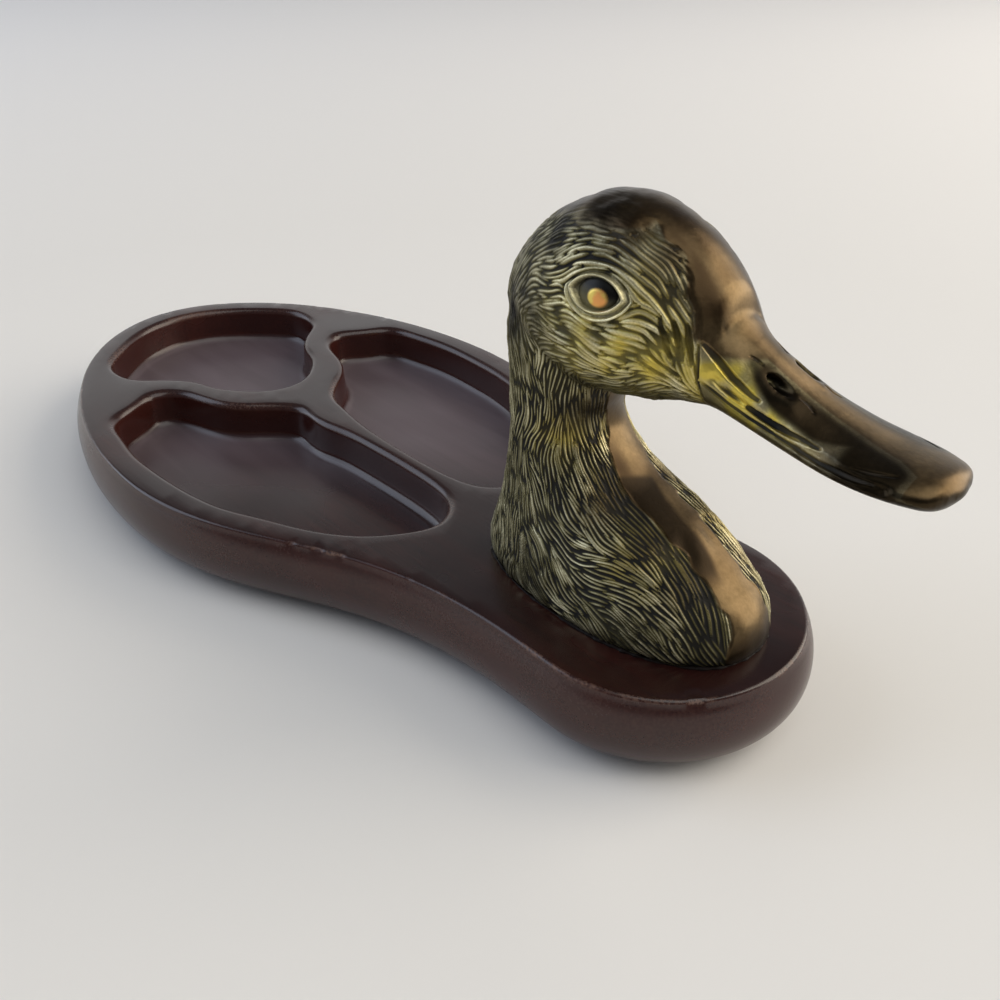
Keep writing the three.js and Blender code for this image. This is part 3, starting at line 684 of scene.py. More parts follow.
class VALET_OT_tray(bpy.types.Operator):
    """Carve the wooden tray round the loops of the frame's tray"""

    bl_idname = "valet.tray"
    bl_label = "Wooden tray"
    EDGE_POINTS = 1300
    POCKET_POINTS = 460
    TOP_GRID = 3.2 * MM
    FLOOR_GRID = 2.6 * MM
    UNDERSIDE_GRID = 12 * MM

    def execute(self, context):
        settings = context.scene.valet_tray
        low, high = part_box("tray_body")
        loops = flat_loops("tray_body", high.z)
        outline, pockets, holes = loops[0], loops[1:4], loops[4:6]
        draft = Draft()
        top = [self.side(draft, settings, outline, low.z, high.z)]
        for which, loop in enumerate(pockets):
            top.append(self.pocket(draft, settings, loop, high.z, which))
        bottom = [np.arange(len(draft.points[0]))]
        bores = flat_loops("tray_body", low.z)[1:3]
        for hole, bore in zip(sorted(holes, key=self.along), sorted(bores, key=self.along)):
            ends = self.screw_hole(draft, settings, hole, bore, low.z, high.z)
            bottom.append(ends[0])
            top.append(ends[1])
        draft.flat(top, self.TOP_GRID, high.z, True, 0.35 * settings.hand_wobble, 11)
        draft.flat(bottom, self.UNDERSIDE_GRID, low.z, False)
        piece = new_object("wood_tray", draft.mesh("wood_tray"))
        piece.data.materials.append(mahogany(settings))
        finish_piece(piece, "stained_wood", "tray_body")
        return {"FINISHED"}

    @staticmethod
    def along(loop):
        """Place of a loop along the tray."""
        return loop[:, 0].mean()

    @classmethod
    def side(cls, draft, settings, outline, low, high):
        """The swelling side and the worn arris. Returns the ring where the flat top starts."""
        edge = inset_loop(smooth_loop(outline, cls.EDGE_POINTS), -settings.edge_round)
        wobble = settings.hand_wobble * ripple(edge, 34 * MM, 3)
        ends = np.array([
            (-settings.under_inset, low), (settings.under_swell, low),
            (settings.edge_swell, high - settings.edge_swell_depth), (0, high - settings.edge_round),
        ])
        rows = []
        for t in np.linspace(0, 1, 22):
            share = np.array([(1 - t) ** 3, 3 * (1 - t) ** 2 * t, 3 * (1 - t) * t * t, t ** 3])
            rows.append((*(share @ ends), 0.0))
        for turn in np.radians([15, 32, 50, 70, 90]):
            out = -settings.edge_round * (1 - math.cos(turn))
            rows.append((out, high - settings.edge_round * (1 - math.sin(turn)), math.sin(2 * turn)))
        chips = ease(ripple(edge, 4 * MM, 5), 0.6, 1.1) * ease(ripple(edge, 40 * MM, 6), -0.35, 0.4)
        rub = ease(ripple(edge, 15 * MM, 8), -0.5, 0.6) * (0.55 + 0.45 * ripple(edge, 2.5 * MM, 9))
        bare = 0.5 + 0.5 * ease(ripple(edge, 50 * MM, 10), -0.6, 0.6)
        rings = []
        for out, height, worn in rows:
            bite = worn * chips * settings.chip_depth
            plan = inset_loop(edge, -out)
            lower = float(low < height < high)
            plan = plan + inwards_of(plan) * (bite - wobble * lower)[:, None]
            wear = np.clip(np.maximum(worn * np.maximum(rub, 0.9 * chips), 0.09 * lower * bare), 0, 1)
            rings.append(draft.ring(plan, height - 0.6 * bite, wear))
        draft.strips(rings)
        return rings[-1]

    @classmethod
    def pocket(cls, draft, settings, loop, high, which):
        """A pocket's rolled lip, leaning wall, cove and floor. Returns the ring in the flat top."""
        rim = smooth_loop(loop, cls.POCKET_POINTS)
        floor = high - settings.pocket_depth
        wall = settings.lip_round + settings.wall_draft
        rows = []
        for turn in np.radians([0, 12, 24, 36, 48, 60, 75, 90]):
            drop = settings.lip_round * (1 - math.cos(turn))
            rows.append((settings.lip_round * math.sin(turn), high - drop, 0.5 * math.sin(2 * turn)))
        for share in (0.25, 0.5, 0.75):
            height = high - settings.lip_round
            height -= share * (settings.pocket_depth - settings.lip_round - settings.floor_cove)
            rows.append((settings.lip_round + share * settings.wall_draft, height, 0.0))
        for turn in np.radians([0, 12, 24, 36, 48, 60, 70, 80, 90]):
            inset = wall + settings.floor_cove * (1 - math.cos(turn))
            rows.append((inset, floor + settings.floor_cove * (1 - math.sin(turn)), 0.0))
        wobble = settings.hand_wobble * ripple(rim, 17 * MM, 20 + which)
        rub = 0.2 + 0.9 * ease(ripple(rim, 30 * MM, 30 + which), 0.1, 0.9)
        rings = []
        for inset, height, worn in rows:
            plan = inset_loop(rim, inset)
            plan = relax_loop(plan, int(120 * (inset / (wall + settings.floor_cove)) ** 2))
            middle = plan.mean(0)
            lean = (plan - middle) / np.linalg.norm(plan - middle, axis=1)[:, None]
            plan = plan + lean * (wobble * min(1, inset / (2 * MM)))[:, None]
            low = haze_at(plan) * float(ease(height, floor + 0.6 * settings.floor_cove, floor))
            rings.append(draft.ring(plan, height, np.clip(worn * rub, 0, 1), low))
        draft.strips(rings)
        draft.flat([rings[-1]], cls.FLOOR_GRID, floor, True, settings.hand_wobble, 40 + which, haze_at)
        return rings[0]

    @staticmethod
    def screw_hole(draft, settings, hole, bore, low, high):
        """A screw hole with its counterbore. Returns its rings in the underside and in the top."""
        ceiling = low + settings.counterbore_depth
        middle = bore.mean(0)
        turns = np.linspace(0, 2 * math.pi, 48, endpoint=False)
        circle = np.c_[np.cos(turns), np.sin(turns)]
        wide = np.linalg.norm(bore - middle, axis=1).max()
        narrow = np.linalg.norm(hole - hole.mean(0), axis=1).max()
        rings = [
            draft.ring(middle + circle * radius, height)
            for radius, height in ((wide, low), (wide, ceiling), (narrow, ceiling), (narrow, high))
        ]
        for below, above in zip(rings, rings[1:]):
            draft.strip(above, below)
        return rings[0], rings[-1]


# Duck head


def casting_skin():
    """The outside of the frame's hollow casting as a closed mesh."""
    mesh = bmesh.new()
    mesh.from_mesh(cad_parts["duck_head"].data)
    bmesh.ops.remove_doubles(mesh, verts=mesh.verts, dist=1e-6)
    foot = HEAD_ORIGIN.z
    flat = [f for f in mesh.faces if all(abs(v.co.z - foot) < 1e-6 for v in f.verts)]
    bmesh.ops.delete(mesh, geom=flat, context="FACES")
    outer = {max(mesh.verts, key=lambda v: v.co.x)}
    edge = list(outer)
    while edge:
        vert = edge.pop()
        for link in vert.link_edges:
            other = link.other_vert(vert)
            if other not in outer:
                outer.add(other)
                edge.append(other)
    bmesh.ops.delete(mesh, geom=[v for v in mesh.verts if v not in outer], context="VERTS")
    bmesh.ops.holes_fill(mesh, edges=[e for e in mesh.edges if e.is_boundary], sides=0)
    bmesh.ops.triangulate(mesh, faces=mesh.faces)
    bmesh.ops.recalc_face_normals(mesh, faces=mesh.faces)
    made = bpy.data.meshes.new("skin")
    mesh.to_mesh(made)
    mesh.free()
    return made


def rounded(mesh, cuts):
    """A triangle mesh with each face divided and bulged to follow its corners' normals."""
    points, normals = read_points(mesh), read_normals(mesh)
    corners = np.empty(len(mesh.polygons) * 3, np.int32)
    mesh.polygons.foreach_get("vertices", corners)
    corners = corners.reshape(-1, 3)
    grid = [(i, j) for i in range(cuts + 1) for j in range(cuts + 1 - i)]
    shares = np.array([(i, j, cuts - i - j) for i, j in grid]) / cuts
    flat = np.einsum("gc,fcx->fgx", shares, points[corners])
    bulged = np.zeros_like(flat)
    for corner in range(3):
        normal = normals[corners[:, corner]][:, None]
        off = np.sum((flat - points[corners[:, corner]][:, None]) * normal, 2, keepdims=True)
        bulged += shares[:, corner][None, :, None] * (flat - off * normal)
    spots = (0.25 * flat + 0.75 * bulged).reshape(-1, 3)
    at = {key: number for number, key in enumerate(grid)}
    faces = [(at[i, j], at[i + 1, j], at[i, j + 1]) for i, j in grid if i + j < cuts]
    faces += [(at[i + 1, j], at[i + 1, j + 1], at[i, j + 1]) for i, j in grid if i + j < cuts - 1]
    every = np.arange(len(corners))[:, None, None] * len(grid) + np.array(faces)[None]
    made = bpy.data.meshes.new("rounded")
    made.from_pydata(spots.tolist(), [], every.reshape(-1, 3).tolist())
    weld = bmesh.new()
    weld.from_mesh(made)
    bmesh.ops.remove_doubles(weld, verts=weld.verts, dist=1e-6)
    weld.to_mesh(made)
    weld.free()
    return made


def relaxed(mesh, rounds):
    """Smooths a mesh without shrinking it."""
    points = read_points(mesh)
    edges = np.empty(len(mesh.edges) * 2, np.int32)
    mesh.edges.foreach_get("vertices", edges)
    a, b = edges.reshape(-1, 2).T
    size = len(points)
    links = np.maximum(np.bincount(np.r_[a, b], minlength=size), 1)[:, None]
    off_bill = np.maximum(
        ease(points[:, 0], HEAD_ORIGIN.x + 12 * MM, HEAD_ORIGIN.x + 5 * MM),
        ease(points[:, 2], HEAD_ORIGIN.z + 46 * MM, HEAD_ORIGIN.z + 42 * MM),
    )[:, None]
    for turn in range(rounds):
        share = 1 if turn < 40 else off_bill
        for pull in (0.5 * share, -0.508 * share):
            near = np.column_stack([
                np.bincount(a, points[b, k], size) + np.bincount(b, points[a, k], size) for k in range(3)
            ])
            points = points + pull * (near / links - points)
    points[:, 2] = np.maximum(points[:, 2], HEAD_ORIGIN.z)
    write_points(mesh, points)


def clear_eyes(mesh):
    """Evens out the frame's plain eyes, so that finer ones can be modelled in their place."""
    points = (read_points(mesh) - np.array(HEAD_ORIGIN)) / MM
    along, rise = points[:, 0] - Skin.EYE[0], points[:, 2] - Skin.EYE[1]
    reach = np.hypot(along, rise)
    terms = np.column_stack([along ** i * rise ** j for i in range(4) for j in range(4 - i)])
    for side in (-1, 1):
        ring = (points[:, 1] * side > 4) & (reach > 8.2) & (reach < 12)
        near = (points[:, 1] * side > 4) & (reach < 9.4)
        fit = np.linalg.lstsq(terms[ring], points[ring, 1], rcond=None)[0]
        share = ease(reach[near], 9.4, 8)
        points[near, 1] = points[near, 1] * (1 - share) + terms[near] @ fit * share
    write_points(mesh, points * MM + np.array(HEAD_ORIGIN))


def fine_casting(settings):
    """The casting's outside rebuilt from even cells, smoothed, and halved once."""
    piece = new_object("skin", rounded(casting_skin(), 4))
    remesh = piece.modifiers.new("cells", "REMESH")
    remesh.mode = "VOXEL"
    remesh.voxel_size = settings.cell
    cells = evaluated_mesh(piece)
    drop(piece)
    relaxed(cells, settings.relax_rounds)
    clear_eyes(cells)
    piece = new_object("cells", cells)
    halve = piece.modifiers.new("halve", "SUBSURF")
    halve.levels = halve.render_levels = 1
    made = evaluated_mesh(piece)
    drop(piece)
    return made


class Skin:
    """The casting in millimetres on the head's own axes, with its zones, for drawing lines along it."""

    # Middle of the eye, forward and up, and the almond of its lids, which is lower than it is long.
    EYE = (-9.7, 76)
    EYE_LEAN = 0.88
    LID_REACH = 6.2
    LID_RISE = 3.8
    # Least distance between tufts, tries at placing them, and the most that a tuft turns, bends and fans.
    TUFT_GAP = 8
    TUFT_TRIES = 9000
    TUFT_TURNS = (0.3, 0.035, 0.03)

    def __init__(self, mesh):
        self.mesh = mesh
        self.points = (read_points(mesh) - np.array(HEAD_ORIGIN)) / MM
        self.normals = read_normals(mesh)
        self.x, self.y, self.z = self.points.T
        self.wide = np.abs(self.y)
        self.round_eye()
        self.zones()

    def round_eye(self):
        """Distance out from the ridge of the lids, which is an almond with its corners fore and aft."""
        along, rise = self.x - self.EYE[0], (self.z - self.EYE[1]) / self.EYE_LEAN
        bow = (self.LID_REACH ** 2 + self.LID_RISE ** 2) / (2 * self.LID_RISE)
        sunk = bow - self.LID_RISE
        self.eye = np.hypot(along, np.abs(rise) + sunk) - bow
        self.eye_lay = np.arctan2(-along * np.tanh(rise), np.abs(rise) + 2.2 * sunk)
        self.eye = np.where(self.wide > 4, self.eye, 30)

    def zones(self):
        """Shares of polish, yellow metal, dark patina, painted shade, painted reflection and highlight, and
        feathering at every vertex.
        """
        x, y, z, wide = self.x, self.y, self.z, self.wide
        front, up = self.normals[:, 0], self.normals[:, 2]
        ragged, mottle = ripple(self.points, 4, 54), 0.8 + 0.4 * ripple(self.points, 4, 51)

        def patches(places):
            return np.maximum.reduce([
                strength * np.exp(-((x - px) ** 2 + (z - pz) ** 2) / radius ** 2)
                for px, pz, radius, strength in places
            ])

        # Smooth places: the crown, the stripe down the breast, the bill's ridge and its nail.
        crown = np.interp(x, [-16, -11, -7, -2, 4, 8, 12], [1, 3.4, 4.6, 5.2, 6.4, 8.2, 9])
        crown = ease(wide - crown - 0.9 * ragged, 3.2, -1.8) * ease(z, 66, 72) * ease(x, -19, -8)
        crown *= ease(up + front, -0.1, 0.3)
        heights = [0, 5, 11, 17, 23, 28, 33, 38, 48]
        right = np.interp(z, heights, [-8, -7.3, -5.7, -5.2, -5, -3.8, -1.2, 0.6, -1.5])
        left = np.interp(z, heights, [8, 7.3, 6.2, 5.5, 7, 9.5, 9.5, 9, 6])
        stripe = np.abs(y - (left + right) / 2) - (left - right) / 2 - 0.7 * ragged
        stripe = ease(stripe, 0.9, -0.9) * ease(front, 0.12, 0.4) * ease(z, 52, 46)
        root = np.interp(z, [54, 59, 64, 71, 76], [13, 12.6, 11.8, 10.9, 10.2])
        self.on_bill = ease(x - root, -0.25, 0.25)
        self.on_bill *= ease(z, 48, 50)
        ridge = np.interp(x, [9, 13, 16, 20, 30, 40, 50, 56], [8, 6, 4.4, 3.2, 2.8, 3, 4.2, 7])
        ridge = ease(np.abs(y - 1.2) - ridge, 2.4, -2.4) * ease(up, 0.1, 0.45)
        ridge = ridge * ease(x, 9, 13) * ease(z, 48, 50)
        nail = ease(x, 52, 57) * ease(up + front, 0.0, 0.6) * self.on_bill
        smooth = np.clip(np.maximum.reduce([crown, stripe, ridge, nail]), 0, 1)

        # Feathers, which sink less on the cap of the head, down the nape and beside the smooth places.
        lids = self.eye - 1.1 * ease(z, self.EYE[1] + 2, self.EYE[1] - 2)
        self.feather = (1 - self.on_bill) * (1 - ease(smooth, 0.35, 0.8)) * ease(lids, 0.6, 1.3)
        cap = ease(z + ragged, 83.5, 88.5) * ease(x, 0, -6)
        nape = ease(x, -19, -28) * ease(z, 56, 64)
        border = ease(smooth, 0, 0.55)
        self.depth = self.feather * (1 - 0.88 * cap) * (1 - 0.45 * nape) * (1 - 0.8 * border)

        # The bill's dark flank, the hollow of its nostril, its underside, and painted shade on the
        # down-facing chin behind it.
        above_groove = z - np.interp(x, *GROOVE) - np.interp(x, [18, 22, 26, 36], [6, 4, 2.2, 0.3])
        above_groove = ease(above_groove, -0.7, 0.9) * ease(x, 18, 22)
        hollow = self.on_bill * np.exp(-((z - np.interp(x, *NOSTRIL)) / 1.3) ** 2) * ease(wide, 2, 3)
        hollow *= ease(x + ragged, 18.5, 20.5) * ease(x + ragged, 32, 29)
        flank = self.on_bill * np.maximum(above_groove, ease(x, 37, 43)) * (1 - ridge) * (1 - nail)
        below = self.on_bill * ease(z - np.interp(x, *MOUTH), 0, -0.8)
        chin_shade = ease(up, -0.35, -0.75) * ease(z, 44, 50) * ease(z, 66, 60)

        # Yellow metal, and places that are polished or brown.
        brown = patches(BROWN_PATCHES) * (1 - self.on_bill)
        self.yellow = np.clip(patches(YELLOW_PATCHES) * mottle * (1 - smooth), 0, 1)
        khaki = 0.85 * self.on_bill * (1 - self.yellow)
        self.polish = np.maximum.reduce([ease(smooth, 0.02, 0.45), flank, brown, khaki, cap])
        # Painted highlight along the top of the bill's ridge.
        self.bill_ridge_highlight = 1.1 * ridge * ease(x, 22, 26) * ease(x, 50, 44)

        # The bill's dark reflection painted on the stripe, fading upward; brown and black stains beside the
        # stripe, in front of the cheek and on the temple; darker brown at the stripe's foot.
        bill_reflection = y - right - np.interp(z, [17, 21, 25, 29], [4, 6, 7.5, 11])
        bill_reflection = ease(bill_reflection, 1.2, -1.2) * ease(z, 14, 18) * ease(z + 0.25 * y, 29.6, 28.2) * stripe
        beside = ease(right - y, -0.5, 1) * ease(right - y, 9, 4) * ease(front, 0, 0.3) * ease(z, 34, 30)
        smudge = np.exp(-((x - 13) ** 2 + (z - 72.8) ** 2 / 1.8) / 1.6) * ease(wide, 4, 5.5)
        smudge *= 0.9 + 0.5 * ragged
        # Painted dark reflection of the bill fading upward on the stripe's near side towards the throat.
        bill_reflection_fade = ease(z, 38.5, 31) * ease(z, 22, 26) * ease(y, 3.5, -1) * stripe
        toe = stripe * ease(z, 8.5, 4)
        temple = ease(wide, 2.5, 5.5) * ease(x, -8, -2) * ease(z, 72, 76) * smooth
        # Brown patina, with the bill's painted dark reflection on the stripe.
        self.umber_and_reflection = np.maximum.reduce([
            ease(z, 76, 82) * ease(x, 8, -4) * (0.6 + 0.3 * ragged), 0.9 * bill_reflection, 0.6 * flank, 0.7 * brown,
            0.85 * temple, 0.85 * bill_reflection_fade, 0.4 * cap, 0.8 * toe, 0.35 * nail,
            0.35 * ease(x, 13, 17) * ease(x, 24, 19) * ridge,
        ])
        # Painted shadow of the upper lid in the eye's socket, weaker under the eye.
        under = ease(z, self.EYE[1] + 1, self.EYE[1] - 2)
        socket = ease(self.eye, -0.1, -0.7) * (1 - 0.5 * under)
        fold = np.exp(-((self.eye - 0.85) / 0.3) ** 2)
        dusk = patches(SOOT_PATCHES) * (0.85 + 0.35 * ripple(self.points, 6, 52)) * (1 - self.on_bill)
        # Dark patina, with painted shade in the eye's socket and under the chin, and the bill's painted dark
        # reflection on the stripe.
        self.soot_and_shade = np.clip(np.maximum.reduce([
            (0.68 + 0.14 * ease(x, 34, 42)) * flank, 0.65 * below, 0.55 * chin_shade, dusk * (1 - 0.7 * smooth),
            0.9 * socket, 0.75 * fold, 0.7 * bill_reflection, 0.3 * beside * (0.7 + 0.6 * ragged), 0.9 * hollow,
            0.14 * cap * (0.8 + 0.5 * ragged), 0.85 * smudge, 0.3 * bill_reflection_fade, 0.3 * toe,
            0.7 * nape * (0.8 + 0.4 * ragged),
        ]), 0, 1)

        # Strands that stand less high, crests that stay bright through the soot and the painted shade, and
        # black in the cuts.
        self.fade = np.maximum(0.35 * beside, 0.3 * cap)
        self.spare = self.feather * (0.1 + 0.7 * ease(z, 52, 44) * (1 - ease(x, -22, -30)))
        black = np.interp(z, [44, 56, 60, 68, 74], [1, 0.85, 0.6, 0.65, 0.92])
        black = black * (1 - 0.4 * self.yellow) * (1 - 0.5 * border)
        self.grime = np.clip(np.maximum(black, 0.9 * self.on_bill) - 0.12 * ripple(self.points, 9, 56), 0, 1)

    def set_strands(self, settings):
        """Spacing, length and roundness of the feathers' strands, and depth of the ground between them."""
        wide = ease(np.hypot(self.x + 4, self.z - 76), 19, 11)
        head = settings.head_spacing * (1 - wide) + settings.eye_spacing * wide
        slim = (self.z > 30) | (self.x < -24)
        body = np.where(slim, settings.neck_spacing, settings.breast_spacing)
        high = ease(self.z, 54, 58)
        self.gap = (head * high + body * (1 - high)) / MM
        self.reach = 15 - 5 * high + 10 * high * wide
        self.bow = 1.25 + 0.4 * high
        self.girth = 0.38 + 0.17 * high
        self.down = self.depth * self.gap * settings.cut_share * MM

    def raise_forms(self, lump):
        """Models the lids and the soft lumps under the feathers."""
        eye = self.eye
        lid = 0.65 * np.exp(-(eye / 0.36) ** 2) - 0.8 * ease(eye, -0.2, -1.0)
        under = ease(self.z, self.EYE[1] + 2, self.EYE[1] - 2)
        lid += 0.35 * under * np.exp(-((eye - 1.7) / 0.45) ** 2)
        lid -= 0.45 * np.exp(-((eye - 0.85) / 0.33) ** 2)
        swell = 0.7 * ripple(self.points, 7, 61) + 0.4 * ripple(self.points, 3.2, 62)
        fold = 0.35 * np.exp(-((self.x - 11) / 1.6) ** 2) - 0.4 * np.exp(-((self.x - 13.4) / 0.9) ** 2)
        fold *= ease(self.z, 70, 72.5) * ease(self.wide, 7.5, 5)
        lift = lid + fold + lump / MM * swell * self.feather
        self.points = self.points + self.normals * lift[:, None]
        write_points(self.mesh, self.points * MM + np.array(HEAD_ORIGIN))
        self.normals = read_normals(self.mesh)

    def set_lay(self):
        """Direction of the feather lines at every vertex, along the surface."""
        guides = np.array(FEATHER_LAY, float)
        gap = (self.x[:, None] - guides[:, 0]) ** 2 + (self.z[:, None] - guides[:, 1]) ** 2
        pull = 1 / (gap + 6) ** 2
        turn = np.radians(guides[:, 2]) * 2
        cosine, sine = pull @ np.cos(turn), pull @ np.sin(turn)
        size = np.hypot(cosine, sine)
        near = ease(self.eye, 5.5, 1.5)
        cosine = cosine / size * (1 - near) + np.cos(2 * self.eye_lay) * near
        sine = sine / size * (1 - near) + np.sin(2 * self.eye_lay) * near
        lay = np.arctan2(sine, cosine) / 2
        wave = 0.2 * ripple(self.points, 9, 63) + 0.2 * ripple(self.points, 4.5, 64)
        lay = lay + wave * (1 - 0.75 * near)
        along = np.column_stack([np.cos(lay), np.zeros(len(lay)), np.sin(lay)])
        along -= self.normals * np.sum(along * self.normals, 1)[:, None]
        self.lay = along / np.maximum(np.linalg.norm(along, axis=1), 1e-6)[:, None]
        self.set_tufts(1 - ease(self.eye, 12, 6) * ease(self.z, 58, 64))
        self.tree = KDTree(len(self.points))
        for number, point in enumerate(self.points):
            self.tree.insert(point, number)
        self.tree.balance()

    def set_tufts(self, loose):
        """Numbers the tufts that the feathers lie in, and turns and bends the lay within each."""
        draw = np.random.default_rng(66)
        across = np.cross(self.normals, self.lay)
        loose = loose * np.where(self.z < 50, 0.85, 1 - 0.5 * ease(self.x, -14, -4) * ease(self.z, 74, 79))
        starts = []
        for number in draw.permutation(np.flatnonzero(self.feather > 0.3))[:self.TUFT_TRIES]:
            away = self.points[starts] - self.points[number]
            if not starts or np.min(np.sum(away * away, 1)) > self.TUFT_GAP ** 2:
                starts.append(number)
        nearest = np.full(len(self.points), np.inf)
        turn = np.zeros(len(self.points))
        self.tuft = np.zeros(len(self.points), int)
        for count, number in enumerate(starts):
            away = self.points - self.points[number]
            fore, side = away @ self.lay[number], away @ across[number]
            gap = np.sum(away * away, 1) - 0.6 * fore * fore
            own = gap < nearest
            twist, bend, fan = draw.uniform(-1, 1, 3) * self.TUFT_TURNS
            nearest[own] = gap[own]
            self.tuft[own] = count
            turn[own] = twist + bend * fore[own] + fan * side[own]
        turn *= loose
        self.tuft[loose < 0.4] = -1
        self.lay = self.lay * np.cos(turn)[:, None] + across * np.sin(turn)[:, None]


class Feathering:
    """Wavy strands that follow the lay of a skin side by side, each kept clear of its neighbours."""

    # Step along a strand, cells for finding neighbours, and the taper at a strand's ends, in millimetres.
    STEP = 0.4
    CELL = 2.2
    TAPER = 2.4
    # Steps that a strand may run on past its tuft, and the fewest points of a strand.
    OVERRUN = 5
    SHORTEST = 5
    # Room that a strand keeps as it runs on, over the room it needs to start.
    CLOSE = 0.4
    # Each pass's room between strands, over their spacing, and its stride through the starts.
    PASSES = ((0.86, 4), (0.64, 8), (0.54, 12))
    NEAR = [(i, j, k) for i in (-1, 0, 1) for j in (-1, 0, 1) for k in (-1, 0, 1)]

    def __init__(self, skin, seed):
        self.skin = skin
        self.draw = np.random.default_rng(seed)
        self.cells = {}
        self.lines = []

    def key(self, place):
        """Cell of a place."""
        return int(place.x // self.CELL), int(place.y // self.CELL), int(place.z // self.CELL)

    def is_free(self, place, gap):
        """Whether a place keeps clear of the lines drawn so far."""
        a, b, c = self.key(place)
        least = gap * gap
        for i, j, k in self.NEAR:
            for other in self.cells.get((a + i, b + j, c + k), ()):
                if (other - place).length_squared < least:
                    return False
        return True

    def walk(self, place, ahead, reach, gap):
        """Points and vertex numbers along the lay from a place until the line's end or a neighbour."""
        skin, path, marks, over = self.skin, [], [], 0
        home = skin.tuft[skin.tree.find(place)[1]]
        for _ in range(max(1, int(reach / self.STEP))):
            _, number, _ = skin.tree.find(place)
            normal = Vector(skin.normals[number])
            place = place - normal * normal.dot(place - Vector(skin.points[number]))
            if skin.feather[number] < 0.1 or not self.is_free(place, gap):
                break
            path.append(place)
            marks.append(number)
            if skin.tuft[number] == home:
                along = Vector(skin.lay[number])
                ahead = along if along.dot(ahead) > 0 else -along
            else:
                over += 1
                ahead = (ahead - normal * normal.dot(ahead)).normalized()
            if over > self.OVERRUN:
                break
            place = place + ahead * self.STEP
        return path, marks

    def grow(self, spot, queue, room):
        """Draws a strand through a place if there is room, and notes places for its neighbours."""
        skin, draw = self.skin, self.draw
        _, number, _ = skin.tree.find(spot)
        gap = skin.gap[number]
        if skin.feather[number] < 0.25 or not self.is_free(spot, gap * room):
            return
        reach = skin.reach[number] * draw.uniform(0.6, 1.5)
        share = draw.uniform(0.35, 0.65)
        ahead = Vector(skin.lay[number])
        fore, fore_marks = self.walk(spot, ahead, reach * share, gap * room * self.CLOSE)
        back, back_marks = self.walk(spot, -ahead, reach * (1 - share), gap * room * self.CLOSE)
        path, marks = back[:0:-1] + fore, back_marks[:0:-1] + fore_marks
        if len(path) < self.SHORTEST:
            return
        for place in path:
            self.cells.setdefault(self.key(place), []).append(place)
        self.lines.append((path, marks, gap))
        for place, mark in list(zip(path, marks))[2::4]:
            across = Vector(skin.normals[mark]).cross(Vector(skin.lay[mark])) * gap
            queue.extend([place + across, place - across])

    def run(self):
        """Fills the feathered zones with strands, and the gaps left between them with closer ones."""
        starts = np.flatnonzero(self.skin.feather > 0.3)
        for room, stride in self.PASSES:
            for number in self.draw.permutation(starts)[::stride]:
                queue = [Vector(self.skin.points[number])]
                while queue:
                    self.grow(queue.pop(int(self.draw.integers(len(queue)))), queue, room)

    def runs(self):
        """The strands as points, heights from 0 to 1, half widths and roundness."""
        for path, marks, gap in self.lines:
            steps = np.arange(len(path)) + 0.5
            ends = np.minimum(steps, len(path) - steps) * self.STEP
            taper = 1 - (1 - np.clip(ends / self.TAPER, 0, 1)) ** 2
            points = np.array(path)
            uneven = 0.92 + 0.16 * ripple(points, 4, 67)
            height = taper ** 0.45 * self.draw.uniform(0.7, 1) * (1 - self.skin.fade[marks])
            half = gap * self.skin.girth[marks] * (0.35 + 0.65 * taper) * uneven
            yield points, height, half, self.skin.bow[marks]


def hand_cut_runs(skin):
    """The hand-cut lines laid on both sides of the head."""
    tree = BVHTree.FromPolygons(
        [Vector(p) for p in skin.points], [tuple(f.vertices) for f in skin.mesh.polygons]
    )
    for half, depth, places in HAND_CUTS:
        places = np.array(places, float)
        gaps = np.r_[0, np.cumsum(np.linalg.norm(np.diff(places, axis=0), axis=1))]
        spots = np.linspace(0, gaps[-1], max(6, int(gaps[-1] / 0.4)))
        xs, zs = np.interp(spots, gaps, places[:, 0]), np.interp(spots, gaps, places[:, 1])
        taper = np.sqrt(np.sin(np.pi * np.clip(spots / gaps[-1] * 0.96 + 0.02, 0, 1)))
        for side in (-1, 1):
            inwards = Vector((0, -side, 0))
            path = [tree.ray_cast(Vector((x, side * 60, z)), inwards)[0] for x, z in zip(xs, zs)]
            keep = [spot for spot, point in enumerate(path) if point is not None]
            points = np.array([path[spot] for spot in keep])
            thin = taper[keep]
            yield points, depth * MM * thin, half * (0.4 + 0.6 * thin), np.full(len(keep), CUT_BOW)


def line_object(name, runs):
    """A helper object that holds lines as edges, with each point's depth, half width and roundness."""
    points, edges, depths, halves, bows = [], [], [], [], []
    for path, depth, half, bow in runs:
        start = len(points)
        points.extend((path * MM + np.array(HEAD_ORIGIN)).tolist())
        edges.extend((k, k + 1) for k in range(start, start + len(path) - 1))
        depths.extend(depth)
        halves.extend(half * MM)
        bows.extend(bow)
    mesh = bpy.data.meshes.new(name)
    mesh.from_pydata(points, edges, [])
    for key, values in (("line_depth", depths), ("line_half", halves), ("line_bow", bows)):
        write_mask(mesh, key, np.array(values))
    return new_object(name, mesh)


def line_profile(tree, lines):
    """Sockets for how near each place lies to a line's middle, from 0 to 1, and for that line's depth."""
    gap = add_node(tree, "GeometryNodeProximity", (lines,), "Distance", target_element="EDGES")
    nearest = add_node(tree, "GeometryNodeSampleNearest", {"Geometry": lines}, "Index")
    values = []
    for name in ("line_depth", "line_half", "line_bow"):
        value = add_node(tree, STORED, {"Name": name}, "Attribute", data_type="FLOAT")
        sample = {"Geometry": lines, "Index": nearest, "Value": value}
        values.append(add_node(tree, "GeometryNodeSampleIndex", sample, data_type="FLOAT"))
    depth, half, bow = values
    share = add_node(tree, MATH, (gap, half), operation="DIVIDE", use_clamp=True)
    fall = add_node(tree, MATH, (share, bow), operation="POWER")
    return add_node(tree, MATH, (1, fall), operation="SUBTRACT", use_clamp=True), depth


